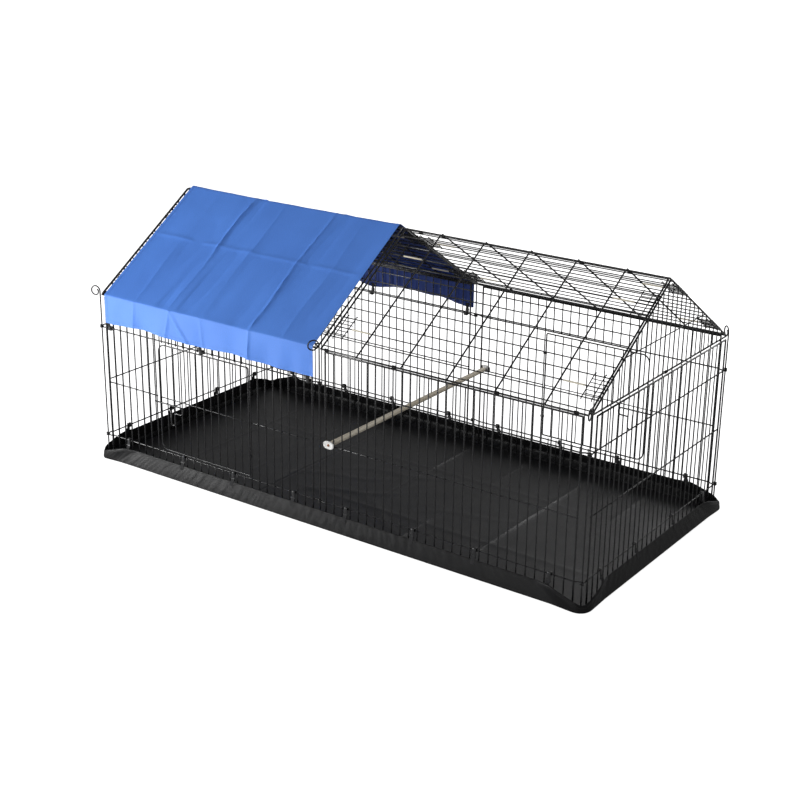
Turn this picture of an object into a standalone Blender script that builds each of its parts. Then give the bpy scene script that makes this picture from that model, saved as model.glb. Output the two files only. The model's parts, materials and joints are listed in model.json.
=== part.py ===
"""Gabled wire run for rabbits, with a fabric roof cover, a fabric floor tray and a perch.

Metres, +Z up.  The origin is the centre of the footprint on the ground, the length runs
along X and the front is the -Y side.  Every wire panel is drawn in its own local frame:
X to the right as seen from outside, Z up the panel and -Y pointing outwards.
"""
import math

import bmesh
import bpy
from mathutils import Matrix, Vector

# Overall size
LENGTH = 2.20
WIDTH = 1.03
EAVE_Z = 0.690
RIDGE_Z = 1.030
HALF_LENGTH = LENGTH / 2
HALF_WIDTH = WIDTH / 2

# Wires, as half the diagonal of their square section
THIN = 0.0018
WIRE = 0.0020
STOUT = 0.0024
FRAME = 0.0028
END_WIRE = 0.0032
SHIFT = 0.0004

# Wall panels
POST_GAP = 0.030
SIDE_WIRES = 29
END_WIRES = 28
LEG_Z = 0.0048
RAIL_BOTTOM = 0.105
RAIL_MID = 0.335
RAIL_UPPER = 0.565
UPRIGHT_OUT = 0.0033
FRAME_OUT = 0.0030
LOOSE_RAIL_IN = 0.0010
LOOP_STEP = 0.0035
LOOP_RADIUS = 0.0065
LOOP_WIRE = 0.0023
LOOP_SIDES = 6
STUB = 0.0040
OVERRUN = 0.0007

# Doorway and door
DOOR_HINGE_WIRE = 20
DOOR_LATCH_WIRE = 7
DOOR_NEAR = 0.008
DOOR_FAR = 0.463
DOOR_LOW = 0.119
DOOR_HIGH = 0.553
DOOR_CORNER = 0.030
DOOR_BAYS = 12
DOOR_HINGE_HEIGHTS = (0.200, 0.470)
DOOR_LOOP_RADIUS = 0.0055
BOLT_Z = 0.315
BOLT_OUT = 0.0093
BOLT_TIP = 0.489
BOLT_BEND = 0.357
BOLT_RETURN = 0.015
HANDLE_X = 0.385
HANDLE_LOW = 0.243
HANDLE_RADIUS = 0.010
GUIDE_RADIUS = 0.0047
GUIDE_WIRE = 0.0015
GUIDE_BAYS = (1, 2)

# Roof panels and gables
ROOF_EAVE_Z = EAVE_Z + 0.007
RIDGE_GAP = 0.0040
ROOF_INNER_X = 0.012
ROOF_OUTER_X = HALF_LENGTH - 0.015
ROOF_RUN = HALF_WIDTH - RIDGE_GAP
ROOF_RISE = RIDGE_Z - ROOF_EAVE_Z
ROOF_SLOPE = math.atan2(ROOF_RISE, ROOF_RUN)
ROOF_LENGTH = math.hypot(ROOF_RISE, ROOF_RUN)
RAFTER_PITCH = 0.190
RAFTERS = 5
RAFTER_OUT = 0.0034
LOOSE_ROW_IN = 0.0012
ROW_FIRST = 0.018
ROW_PITCH = 0.0466
ROWS = 13
LADDER_ROWS = (2, 10)
LADDER_BARS = (0.018, 0.056)
LADDER_HALF = 0.053
LADDER_OUT = 0.0016
LADDER_RUNGS = (-0.0233, 0.0233)
SLEEVE = 0.0034
SLEEVE_FROM = 0.068
SLEEVE_LENGTH = 0.080
CLIP_WIRE = 0.0038
CLIP_HALF = 0.008
EAVE_CLIPS = (-0.515, -0.220, 0.195, 0.495)
RIDGE_CLIPS = (-0.470, -0.370, 0.207, 0.393)
GABLE_DROP = 0.008
GABLE_MID_Z = 0.830

# Stakes
STAKE_RADIUS = 0.0027
STAKE_SIDES = 5
STAKE_FOOT = 0.008
STAKE_TOP = 0.708
CURL_RADIUS = 0.020
CURL_TIP = 0.010
CURL_TURN = 400
CURL_STEP = 40

# Perch
PERCH_X = POST_GAP + 0.5 * (HALF_LENGTH - 2 * POST_GAP) / (SIDE_WIRES - 1)
PERCH_Z = 0.341
PERCH_RADIUS = 0.010
PERCH_END = HALF_WIDTH - 0.005
PERCH_SIDES = 12
BORE_RADIUS = 0.0030
BORE_DEPTH = 0.014
CAP_HALF = (0.023, 0.015)
CAP_IN = 0.0073
CAP_OUT = 0.0133
SCREW_GAP = 0.0004
SCREW_HEAD = (0.0050, 0.0025)
SCREW_SHANK = (0.0023, 0.026)

# Fabric cover over the left half of the roof
COVER_LEFT = -1.078
COVER_RIGHT = -0.020
COVER_CLEAR = 0.0100
COVER_THICK = 0.0025
COVER_DROP_Z = 0.588

# Fabric tray
TRAY_FOOT = 0.026
TRAY_LIP = 0.0125
TRAY_THICK = 0.0025
TRAY_FLOOR = 0.0040
TRAY_HIGH = 0.070
TRAY_LOW = 0.024
TRAY_CORNER = 0.120
TRAY_CHAMFER = 0.012

# Hooks
HOOK_HALF = 0.007
HOOK_THICK = 0.0011
SIDE_HOOK_BAYS = (2, 10, 17, 25)
END_HOOK_BAYS = (2, 9, 17, 24)
COVER_HOOK_BAYS = (0, 13, 27)
TRAY_HOOK_LINE = (
    (0.0186, 0.048), (0.0145, 0.073), (0.0068, 0.090), (0.0068, 0.1125),
    (-0.0056, 0.1125), (-0.0056, 0.097),
)
COVER_HOOK_LINE = (
    (0.0168, 0.602), (0.0168, 0.581), (0.0068, 0.579), (0.0068, 0.5575),
    (-0.0060, 0.5575), (-0.0060, 0.571),
)

SMOOTH_ANGLE = 75.0
SIDE_ANGLE = {"front": 0.0, "right": 90.0, "back": 180.0, "left": 270.0}
CURL_ANGLE = {
    "front_left": 190.0, "front_mid": 225.0, "front_right": 282.0,
    "back_left": 145.0, "back_mid": 135.0, "back_right": 147.0,
}


def clear_scene():
    for old in list(bpy.data.objects):
        bpy.data.objects.remove(old, do_unlink=True)


def make_material(name, colour, roughness, metallic):
    made = bpy.data.materials.new(name)
    made.use_nodes = True
    shader = made.node_tree.nodes["Principled BSDF"]
    shader.inputs["Base Color"].default_value = (*colour, 1.0)
    shader.inputs["Roughness"].default_value = roughness
    shader.inputs["Metallic"].default_value = metallic
    made.diffuse_color = (*colour, 1.0)
    return made


def painted_wire():
    return (0.020, 0.020, 0.022), 0.38, 0.25


def blue_fabric():
    return (0.075, 0.200, 0.560), 0.85, 0.0


def black_fabric():
    return (0.022, 0.022, 0.025), 0.60, 0.0


def black_plastic():
    return (0.015, 0.015, 0.016), 0.45, 0.0


def pale_wood():
    return (0.620, 0.540, 0.410), 0.70, 0.0


def white_plastic():
    return (0.850, 0.850, 0.840), 0.35, 0.0


def brown_metal():
    return (0.330, 0.130, 0.070), 0.45, 0.6


def shell_of(loops, close_run=False):
    """Skin a run of equal point loops; the ends are capped unless the run closes on itself."""
    count = len(loops[0])
    verts = [Vector(point) for loop in loops for point in loop]
    faces = []
    spans = len(loops) if close_run else len(loops) - 1
    for k in range(spans):
        near = k * count
        far = ((k + 1) % len(loops)) * count
        for i in range(count):
            j = (i + 1) % count
            faces.append((near + i, near + j, far + j, far + i))
    if not close_run:
        faces.append(tuple(range(count))[::-1])
        faces.append(tuple(range(spans * count, spans * count + count)))
    return verts, faces


def ring_points(centre, across, up, radius, sides, turn=0.0):
    points = []
    for i in range(sides):
        angle = turn + 2 * math.pi * i / sides
        points.append(centre + radius * (math.cos(angle) * across + math.sin(angle) * up))
    return points


def bar(start, end, half, out=0.0):
    """Straight wire of square section standing on its edge, in a panel's local X-Z plane."""
    first = Vector((start[0], -out, start[1]))
    last = Vector((end[0], -out, end[1]))
    normal = Vector((0.0, 1.0, 0.0))
    across = (last - first).normalized().cross(normal)
    loops = [ring_points(point, across, normal, half, 4) for point in (first, last)]
    return shell_of(loops)


def tube(points, half, sides, closed=False, normal=Vector((0.0, 1.0, 0.0)), turn=0.0):
    """Bent wire that follows a run of points lying in the plane square to the normal."""
    path = [Vector(point) for point in points]
    count = len(path)
    loops = []
    for i, point in enumerate(path):
        if closed:
            before, after = path[i - 1], path[(i + 1) % count]
        else:
            before, after = path[max(i - 1, 0)], path[min(i + 1, count - 1)]
        come = (point - before).normalized() if before != point else (after - point).normalized()
        leave = (after - point).normalized() if after != point else come
        way = (come + leave).normalized()
        across = way.cross(normal)
        stretch = 1.0 / max(come.dot(way), 0.5)
        loop = []
        for k in range(sides):
            angle = turn + 2 * math.pi * k / sides
            loop.append(point + half * (stretch * math.cos(angle) * across + math.sin(angle) * normal))
        loops.append(loop)
    return shell_of(loops, close_run=closed)


def lathe(profile, sides):
    """Turn (radius, along) pairs round the local Y axis; zero radii close the ends."""
    verts = []
    rings = []
    for radius, along in profile:
        if radius == 0.0:
            rings.append([len(verts)])
            verts.append(Vector((0.0, along, 0.0)))
            continue
        rings.append(list(range(len(verts), len(verts) + sides)))
        for i in range(sides):
            angle = 2 * math.pi * i / sides
            verts.append(Vector((radius * math.cos(angle), along, radius * math.sin(angle))))
    faces = []
    for near, far in zip(rings, rings[1:]):
        for i in range(sides):
            j = (i + 1) % sides
            if len(near) == 1:
                faces.append((near[0], far[j], far[i]))
            elif len(far) == 1:
                faces.append((near[i], near[j], far[0]))
            else:
                faces.append((near[i], near[j], far[j], far[i]))
    return verts, faces


def mesh_from(name, shells):
    bm = bmesh.new()
    for verts, faces in shells:
        made = [bm.verts.new(vert) for vert in verts]
        for face in faces:
            bm.faces.new([made[i] for i in face])
    bmesh.ops.recalc_face_normals(bm, faces=bm.faces)
    mesh = bpy.data.meshes.new(name)
    bm.to_mesh(mesh)
    bm.free()
    return mesh


def place(name, mesh, look, location=(0.0, 0.0, 0.0), rotation=(0.0, 0.0, 0.0), smooth=False):
    made = bpy.data.objects.new(name, mesh)
    bpy.context.collection.objects.link(made)
    mesh.materials.clear()
    mesh.materials.append(make_material(name + "_finish", *look))
    made.location = location
    made.rotation_euler = [math.radians(angle) for angle in rotation]
    if smooth:
        mesh.shade_smooth()
        mesh.set_sharp_from_angle(angle=math.radians(SMOOTH_ANGLE))
    return made


def welded(name, groups):
    """Join groups of crossing wires into one closed body."""
    parts = []
    for k, shells in enumerate(groups):
        part = bpy.data.objects.new(f"{name}_part{k}", mesh_from(f"{name}_part{k}", shells))
        bpy.context.collection.objects.link(part)
        parts.append(part)
    base = parts[0]
    for part in parts[1:]:
        weld = base.modifiers.new("weld", "BOOLEAN")
        weld.operation = "UNION"
        weld.solver = "EXACT"
        weld.object = part
    bpy.context.view_layer.update()
    graph = bpy.context.evaluated_depsgraph_get()
    mesh = bpy.data.meshes.new_from_object(base.evaluated_get(graph), depsgraph=graph)
    mesh.name = name
    for part in parts:
        bpy.data.objects.remove(part, do_unlink=True)
    return mesh


def arc(centre, radius, start, end, steps):
    """Points (x, z) round an arc, angles in degrees."""
    points = []
    for i in range(steps + 1):
        angle = math.radians(start + (end - start) * i / steps)
        points.append((centre[0] + radius * math.cos(angle), centre[1] + radius * math.sin(angle)))
    return points


def flat_path(points, out=0.0):
    return [(x, -out, z) for x, z in points]


def wire_position(span, count, index):
    """Where an upright stands along a wall panel, measured from the panel's middle."""
    return -span / 2 + POST_GAP + index * (span - 2 * POST_GAP) / (count - 1)


def bay_middle(span, count, bay):
    return wire_position(span, count, bay + 0.5)


def stake_loop(x, z):
    """Eye at the end of a rail, level, with the stake passing down through it."""
    points = []
    for i in range(LOOP_SIDES):
        angle = 2 * math.pi * (i + 0.5) / LOOP_SIDES
        points.append((x + LOOP_RADIUS * math.cos(angle), LOOP_RADIUS * math.sin(angle), z))
    return tube(points, LOOP_WIRE, 4, closed=True, normal=Vector((0.0, 0.0, 1.0)))


def looped_rail(span, height, back):
    """Rail that steps down to its left eye and up to its right eye."""
    reach = span / 2 - LOOP_RADIUS
    straight = span / 2 - POST_GAP
    points = [
        (-reach, back, height - LOOP_STEP),
        (-straight, back, height),
        (straight, back, height),
        (reach, back, height + LOOP_STEP),
    ]
    return tube(points, WIRE, 4)


def wall_panel(span, count, doorway):
    """Wall panel: uprights, four rails and an eye at both ends of two of the rails."""
    first = wire_position(span, count, 0)
    last = wire_position(span, count, count - 1)
    uprights = []
    for index in range(count):
        x = wire_position(span, count, index)
        at_end = index in (0, count - 1)
        half = END_WIRE if at_end else WIRE
        out = UPRIGHT_OUT + (SHIFT if at_end else 0.0)
        head = EAVE_Z + (OVERRUN if at_end else 0.0)
        if doorway and DOOR_LATCH_WIRE < index < DOOR_HINGE_WIRE:
            uprights.append(bar((x, LEG_Z), (x, RAIL_BOTTOM + STUB), half, out))
            uprights.append(bar((x, RAIL_UPPER - STUB), (x, head), half, out))
        else:
            uprights.append(bar((x, LEG_Z), (x, head), half, out))
    top = bar((first, EAVE_Z), (last, EAVE_Z), FRAME, FRAME_OUT)
    low = looped_rail(span, RAIL_BOTTOM, 0.0)
    upper = looped_rail(span, RAIL_UPPER, LOOSE_RAIL_IN)
    rails = [top, low, upper]
    if doorway:
        jambs = [wire_position(span, count, index) for index in (DOOR_LATCH_WIRE, DOOR_HINGE_WIRE)]
        rails.append(bar((first, RAIL_MID), (jambs[0] + STUB / 2, RAIL_MID), WIRE, -LOOSE_RAIL_IN))
        rails.append(bar((jambs[1] - STUB / 2, RAIL_MID), (last, RAIL_MID), WIRE, -LOOSE_RAIL_IN))
    else:
        rails.append(bar((first, RAIL_MID), (last, RAIL_MID), WIRE, -LOOSE_RAIL_IN))
    eyes = []
    for height in (RAIL_BOTTOM, RAIL_UPPER):
        eyes.append(stake_loop(-span / 2, height - LOOP_STEP + SHIFT))
        eyes.append(stake_loop(span / 2, height + LOOP_STEP + SHIFT))
    return welded("wall", [uprights, rails, eyes])


def make_walls():
    plain = (HALF_LENGTH, SIDE_WIRES, False)
    with_door = (HALF_LENGTH, SIDE_WIRES, True)
    end = (WIDTH, END_WIRES, False)
    layout = (
        ("wall_front_left", "front", (-HALF_LENGTH / 2, -HALF_WIDTH), with_door),
        ("wall_front_right", "front", (HALF_LENGTH / 2, -HALF_WIDTH), plain),
        ("wall_back_left", "back", (-HALF_LENGTH / 2, HALF_WIDTH), plain),
        ("wall_back_right", "back", (HALF_LENGTH / 2, HALF_WIDTH), with_door),
        ("wall_end_left", "left", (-HALF_LENGTH, 0.0), end),
        ("wall_end_right", "right", (HALF_LENGTH, 0.0), end),
    )
    for name, side, spot, shape in layout:
        place(name, wall_panel(*shape), painted_wire(), (*spot, 0.0), (0, 0, SIDE_ANGLE[side]))


def upright_loop(x, out, height, radius, half):
    """Small eye that turns on an upright wire."""
    points = []
    for i in range(LOOP_SIDES):
        angle = 2 * math.pi * (i + 0.5) / LOOP_SIDES
        points.append((x + radius * math.cos(angle), -out + radius * math.sin(angle), height))
    return tube(points, half, 4, closed=True, normal=Vector((0.0, 0.0, 1.0)))


def bolt_guide(x):
    """Eye that the bolt slides through, standing across the bolt."""
    points = []
    for i in range(LOOP_SIDES):
        angle = 2 * math.pi * (i + 0.5) / LOOP_SIDES
        points.append((x, -BOLT_OUT + GUIDE_RADIUS * math.cos(angle),
                       BOLT_Z + GUIDE_RADIUS * math.sin(angle)))
    return tube(points, GUIDE_WIRE, 4, closed=True, normal=Vector((1.0, 0.0, 0.0)))


def door_upright(bay):
    return -DOOR_FAR + bay * (DOOR_FAR - DOOR_NEAR) / DOOR_BAYS


def door_leaf():
    """Door drawn from its hinge line, which is the panel upright it turns on."""
    corner = DOOR_CORNER
    outline = [(-DOOR_NEAR, DOOR_LOW), (-DOOR_FAR + corner, DOOR_LOW)]
    outline += arc((-DOOR_FAR + corner, DOOR_LOW + corner), corner, 270, 180, 3)[1:]
    outline += arc((-DOOR_FAR + corner, DOOR_HIGH - corner), corner, 180, 90, 3)
    outline += [(-DOOR_NEAR, DOOR_HIGH)]
    rim = tube(flat_path(outline, UPRIGHT_OUT), STOUT, 4, closed=True)
    uprights = []
    for bay in range(1, DOOR_BAYS):
        x = door_upright(bay)
        uprights.append(bar((x, DOOR_LOW), (x, DOOR_HIGH), THIN, UPRIGHT_OUT + SHIFT))
    mid = bar((-DOOR_FAR, RAIL_MID), (-DOOR_NEAR, RAIL_MID), THIN, SHIFT)
    eyes = [upright_loop(0.0, UPRIGHT_OUT + 2 * SHIFT, height, DOOR_LOOP_RADIUS, THIN)
            for height in DOOR_HINGE_HEIGHTS]
    eyes += [bolt_guide(door_upright(bay)) for bay in GUIDE_BAYS]
    return welded("door", [[rim], uprights, [mid], eyes])


def bolt_wire():
    """Sliding bolt with its hairpin bend and finger loop, bent from one wire."""
    line = [(-BOLT_TIP, BOLT_Z), (-BOLT_BEND, BOLT_Z)]
    line += arc((-BOLT_BEND, BOLT_Z - BOLT_RETURN), BOLT_RETURN, 90, -90, 4)[1:]
    turn_z = BOLT_Z - 2 * BOLT_RETURN
    line += [(-HANDLE_X + 0.003, turn_z), (-HANDLE_X, turn_z - 0.003)]
    line += arc((-HANDLE_X - HANDLE_RADIUS, HANDLE_LOW), HANDLE_RADIUS, 0, -180, 4)
    line += [(-HANDLE_X - 2 * HANDLE_RADIUS, turn_z + 0.010)]
    local = [(x + BOLT_TIP, z - BOLT_Z) for x, z in line]
    return mesh_from("bolt", [tube(flat_path(local), WIRE, 6)])


def make_doors():
    hinge = wire_position(HALF_LENGTH, SIDE_WIRES, DOOR_HINGE_WIRE)
    for name, side, sign in (("front", "front", 1.0), ("back", "back", -1.0)):
        x = sign * (hinge - HALF_LENGTH / 2)
        spin = (0, 0, SIDE_ANGLE[side])
        line_y = -sign * (HALF_WIDTH + UPRIGHT_OUT)
        leaf = door_leaf()
        leaf.transform(Matrix.Translation((0.0, UPRIGHT_OUT, 0.0)))
        place(f"door_{name}", leaf, painted_wire(), (x, line_y, 0.0), spin)
        bolt_y = -sign * (HALF_WIDTH + BOLT_OUT)
        place(f"door_bolt_{name}", bolt_wire(), painted_wire(),
              (x - sign * BOLT_TIP, bolt_y, BOLT_Z), spin, smooth=True)


def ladder_shells(half_width):
    """Short bars and rungs that lace each corner of a roof panel to its end wire."""
    bars = []
    rungs = []
    sleeves = []
    for side in (-1, 1):
        end = side * half_width
        for row in LADDER_ROWS:
            middle = ROW_FIRST + row * ROW_PITCH
            for inset in LADDER_BARS:
                x = end - side * inset
                bars.append(bar((x, middle - LADDER_HALF), (x, middle + LADDER_HALF), THIN, LADDER_OUT))
            inner = end - side * (LADDER_BARS[-1] + 0.002)
            for step in LADDER_RUNGS:
                rungs.append(bar((inner, middle + step), (end, middle + step), THIN, -LOOSE_ROW_IN))
            near = end - side * SLEEVE_FROM
            far = near - side * SLEEVE_LENGTH
            sleeves.append(bar((near, middle), (far, middle), SLEEVE, -LOOSE_ROW_IN))
    return bars, rungs, sleeves


def roof_panel(ridge_clips):
    """Roof panel drawn flat from its eave wire, which lies on the local X axis."""
    half = (ROOF_OUTER_X - ROOF_INNER_X) / 2
    foot = -OVERRUN
    head = ROOF_LENGTH + OVERRUN
    wide = half + OVERRUN
    rafters = [bar((x, foot), (x, head), FRAME, 2 * SHIFT) for x in (-half, half)]
    for k in range(RAFTERS):
        x = (k - (RAFTERS - 1) / 2) * RAFTER_PITCH
        rafters.append(bar((x, foot), (x, head), STOUT, RAFTER_OUT))
    rows = [bar((-wide, z), (wide, z), FRAME, 0.0) for z in (0.0, ROOF_LENGTH)]
    for k in range(ROWS):
        z = ROW_FIRST + k * ROW_PITCH
        rows.append(bar((-wide, z), (wide, z), THIN, -LOOSE_ROW_IN))
    bars, rungs, sleeves = ladder_shells(half)
    clips = [bar((x - CLIP_HALF, 0.0), (x + CLIP_HALF, 0.0), CLIP_WIRE, -SHIFT) for x in EAVE_CLIPS]
    if ridge_clips:
        clips += [bar((x - CLIP_HALF, ROOF_LENGTH), (x + CLIP_HALF, ROOF_LENGTH), CLIP_WIRE, -SHIFT)
                  for x in RIDGE_CLIPS]
    return welded("roof", [rafters + bars, rows + rungs, sleeves + clips])


def make_roof():
    middle = (ROOF_OUTER_X + ROOF_INNER_X) / 2
    lean = math.degrees(ROOF_SLOPE) - 90.0
    for side, sign in (("front", -1.0), ("back", 1.0)):
        for end, way in (("left", -1.0), ("right", 1.0)):
            spot = (way * middle, sign * HALF_WIDTH, ROOF_EAVE_Z)
            place(f"roof_{side}_{end}", roof_panel(side == "front"), painted_wire(),
                  spot, (lean, 0, SIDE_ANGLE[side]))


def gable_slope_height(y):
    """Height of the gable's sloping wire at a distance y from the middle."""
    drop = GABLE_DROP / math.cos(ROOF_SLOPE)
    return ROOF_EAVE_Z - drop + (HALF_WIDTH - abs(y)) * math.tan(ROOF_SLOPE)


def gable_half_width(height):
    return HALF_WIDTH - (height - gable_slope_height(HALF_WIDTH)) / math.tan(ROOF_SLOPE)


def gable_panel():
    """Triangular end panel standing on the end wall's top rail."""
    reach = gable_half_width(ROOF_EAVE_Z)
    outline = [(-reach, ROOF_EAVE_Z), (reach, ROOF_EAVE_Z), (0.0, gable_slope_height(0.0))]
    rim = tube(flat_path(outline), FRAME, 4, closed=True)
    uprights = []
    for index in range(1, END_WIRES - 1):
        x = wire_position(WIDTH, END_WIRES, index)
        top = gable_slope_height(x)
        if top - ROOF_EAVE_Z > 4 * FRAME:
            uprights.append(bar((x, ROOF_EAVE_Z), (x, top), THIN, SHIFT))
    mid_reach = gable_half_width(GABLE_MID_Z) + OVERRUN
    mid = bar((-mid_reach, GABLE_MID_Z), (mid_reach, GABLE_MID_Z), THIN, -FRAME - 0.0008)
    return welded("gable", [[rim], uprights, [mid]])


def make_gables():
    for side, sign in (("left", -1.0), ("right", 1.0)):
        place(f"gable_{side}", gable_panel(), painted_wire(),
              (sign * HALF_LENGTH, 0.0, 0.0), (0, 0, SIDE_ANGLE[side]))


def stake_wire():
    """Corner stake, a straight rod whose top curls into a spiral eye towards local +X."""
    line = [(0.0, STAKE_FOOT)]
    for turned in range(0, CURL_TURN + 1, CURL_STEP):
        part = turned / CURL_TURN
        radius = CURL_RADIUS + (CURL_TIP - CURL_RADIUS) * max(0.0, part - 0.5) * 2
        angle = math.radians(180 - turned)
        line.append((CURL_RADIUS + radius * math.cos(angle), STAKE_TOP + radius * math.sin(angle)))
    return mesh_from("stake", [tube(flat_path(line), STAKE_RADIUS, STAKE_SIDES)])


def make_stakes():
    for side, y in (("front", -HALF_WIDTH), ("back", HALF_WIDTH)):
        for end, x in (("left", -HALF_LENGTH), ("mid", 0.0), ("right", HALF_LENGTH)):
            name = f"{side}_{end}"
            place(f"stake_{name}", stake_wire(), painted_wire(), (x, y, 0.0),
                  (0, 0, CURL_ANGLE[name]), smooth=True)


def rounded_outline(half_x, half_z, steps):
    points = []
    for i in range(steps):
        angle = 2 * math.pi * (i + 0.5) / steps
        c, s = math.cos(angle), math.sin(angle)
        points.append((half_x * math.copysign(abs(c) ** 0.7, c), half_z * math.copysign(abs(s) ** 0.7, s)))
    return points


def perch_cap():
    """Oval plate with a screw hole, drawn with its outer face towards -Y."""
    outer = rounded_outline(*CAP_HALF, PERCH_SIDES)
    inner = arc((0.0, 0.0), BORE_RADIUS, 15, 375, PERCH_SIDES)[:-1]
    loops = []
    for outline, out in ((outer, CAP_IN), (outer, CAP_OUT), (inner, CAP_OUT), (inner, CAP_IN)):
        loops.append([Vector((x, -out, z)) for x, z in outline])
    return mesh_from("cap", [shell_of(loops, close_run=True)])


def perch_screw():
    head, rise = SCREW_HEAD
    shank, long = SCREW_SHANK
    seat = -CAP_OUT - SCREW_GAP
    profile = [(0.0, seat - rise), (head * 0.8, seat - rise), (head, seat - rise / 2), (head, seat),
               (shank, seat), (shank, seat + long), (0.0, seat + long)]
    return mesh_from("screw", [lathe(profile, PERCH_SIDES)])


def perch_rod():
    end = PERCH_END
    deep = end - BORE_DEPTH
    profile = [(0.0, -deep), (BORE_RADIUS, -deep), (BORE_RADIUS, -end), (PERCH_RADIUS, -end),
               (PERCH_RADIUS, end), (BORE_RADIUS, end), (BORE_RADIUS, deep), (0.0, deep)]
    return mesh_from("perch", [lathe(profile, PERCH_SIDES)])


def make_perch():
    place("perch_rod", perch_rod(), pale_wood(), (PERCH_X, 0.0, PERCH_Z), smooth=True)
    for side, sign in (("front", -1.0), ("back", 1.0)):
        spot = (PERCH_X, sign * HALF_WIDTH, PERCH_Z)
        spin = (0, 0, SIDE_ANGLE[side])
        place(f"perch_cap_{side}", perch_cap(), white_plastic(), spot, spin)
        place(f"perch_screw_{side}", perch_screw(), brown_metal(), spot, spin)


def cover_line(clear):
    """Half of the cover's section, (y, z) pairs from its hanging hem up to the ridge."""
    wall = HALF_WIDTH + clear
    climb = clear / math.cos(ROOF_SLOPE)
    slope = math.tan(ROOF_SLOPE)
    eave_z = ROOF_EAVE_Z + climb - clear * slope
    ridge_z = ROOF_EAVE_Z + climb + HALF_WIDTH * slope
    return [(-wall, COVER_DROP_Z), (-wall, eave_z), (0.0, ridge_z), (wall, eave_z), (wall, COVER_DROP_Z)]


def make_cover():
    section = cover_line(COVER_CLEAR + COVER_THICK) + cover_line(COVER_CLEAR)[::-1]
    loops = [[Vector((x, y, z)) for y, z in section] for x in (COVER_LEFT, COVER_RIGHT)]
    place("shade_cover", mesh_from("cover", [shell_of(loops)]), blue_fabric())


def tray_outline(tall_out, short_out, tall_z, short_z):
    """Sixteen points round the tray, those next to each corner at the short height."""
    tall_x = HALF_LENGTH + tall_out
    tall_y = HALF_WIDTH + tall_out
    short_x = HALF_LENGTH + short_out
    short_y = HALF_WIDTH + short_out
    corner = [
        (tall_x - TRAY_CORNER, tall_y, tall_z),
        (short_x - TRAY_CHAMFER, short_y, short_z),
        (short_x, short_y - TRAY_CHAMFER, short_z),
        (tall_x, tall_y - TRAY_CORNER, tall_z),
    ]
    points = []
    for sx, sy in ((1, 1), (1, -1), (-1, -1), (-1, 1)):
        run = corner if sx * sy > 0 else corner[::-1]
        points += [Vector((sx * px, sy * py, pz)) for px, py, pz in run]
    return points


def tray_wall(foot, lip, base):
    """Foot and rim of one face of the tray's leaning wall, the rim cut down at the corners."""
    dropped = foot + (lip - foot) * (TRAY_LOW - base) / (TRAY_HIGH - base)
    return tray_outline(foot, foot, base, base), tray_outline(lip, dropped, TRAY_HIGH, TRAY_LOW)


def make_tray():
    foot, rim = tray_wall(TRAY_FOOT, TRAY_LIP, 0.0)
    floor, inner_rim = tray_wall(TRAY_FOOT - TRAY_THICK, TRAY_LIP - TRAY_THICK, TRAY_FLOOR)
    shells = [shell_of([foot, rim, inner_rim, floor])]
    place("floor_tray", mesh_from("tray", shells), black_fabric())


def strip(line, half_width):
    """Flat strip of even thickness bent along (out, z) points."""
    count = len(line)
    outer = []
    inner = []
    for i, point in enumerate(line):
        before = line[max(i - 1, 0)]
        after = line[min(i + 1, count - 1)]
        way = Vector((after[0] - before[0], after[1] - before[1])).normalized()
        side = Vector((-way[1], way[0])) * HOOK_THICK
        outer.append((point[0] + side[0], point[1] + side[1]))
        inner.append((point[0] - side[0], point[1] - side[1]))
    section = outer + inner[::-1]
    loops = [[Vector((x, -out, z)) for out, z in section] for x in (-half_width, half_width)]
    return shell_of(loops)


def side_spot(side, along):
    """World spot on a wall line, a distance along it seen from outside."""
    turn = Matrix.Rotation(math.radians(SIDE_ANGLE[side]), 3, "Z")
    depth = HALF_WIDTH if side in ("front", "back") else HALF_LENGTH
    spot = turn @ Vector((along, -depth, 0.0))
    return (spot.x, spot.y, 0.0)


def make_hooks():
    long_panels = (-HALF_LENGTH / 2, HALF_LENGTH / 2)
    for side in ("front", "back"):
        spots = [middle + bay_middle(HALF_LENGTH, SIDE_WIRES, bay)
                 for middle in long_panels for bay in SIDE_HOOK_BAYS]
        place_hooks("tray_hook", side, spots, TRAY_HOOK_LINE)
        covered = long_panels[0] if side == "front" else long_panels[1]
        spots = [covered + bay_middle(HALF_LENGTH, SIDE_WIRES, bay) for bay in COVER_HOOK_BAYS]
        place_hooks("cover_hook", side, spots, COVER_HOOK_LINE)
    for side in ("left", "right"):
        spots = [bay_middle(WIDTH, END_WIRES, bay) for bay in END_HOOK_BAYS]
        place_hooks("tray_hook", side, spots, TRAY_HOOK_LINE)


def place_hooks(stem, side, spots, line):
    for k, along in enumerate(spots):
        mesh = mesh_from(stem, [strip(line, HOOK_HALF)])
        place(f"{stem}_{side}_{k + 1}", mesh, black_plastic(), side_spot(side, along),
              (0, 0, SIDE_ANGLE[side]))


clear_scene()
make_walls()
make_doors()
make_roof()
make_gables()
make_stakes()
make_perch()
make_cover()
make_tray()
make_hooks()
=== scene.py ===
"""Looks of the gabled wire run: round coated wires, draped roof cover, fabric tray, perch and hooks.

Metres, +Z up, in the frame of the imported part.  Wire panels are drawn in a local frame: X to
the right as seen from outside, Z up the panel and -Y pointing outwards.
"""

import json
import math
import random

import bpy
from mathutils import Matrix, Vector, noise


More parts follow.
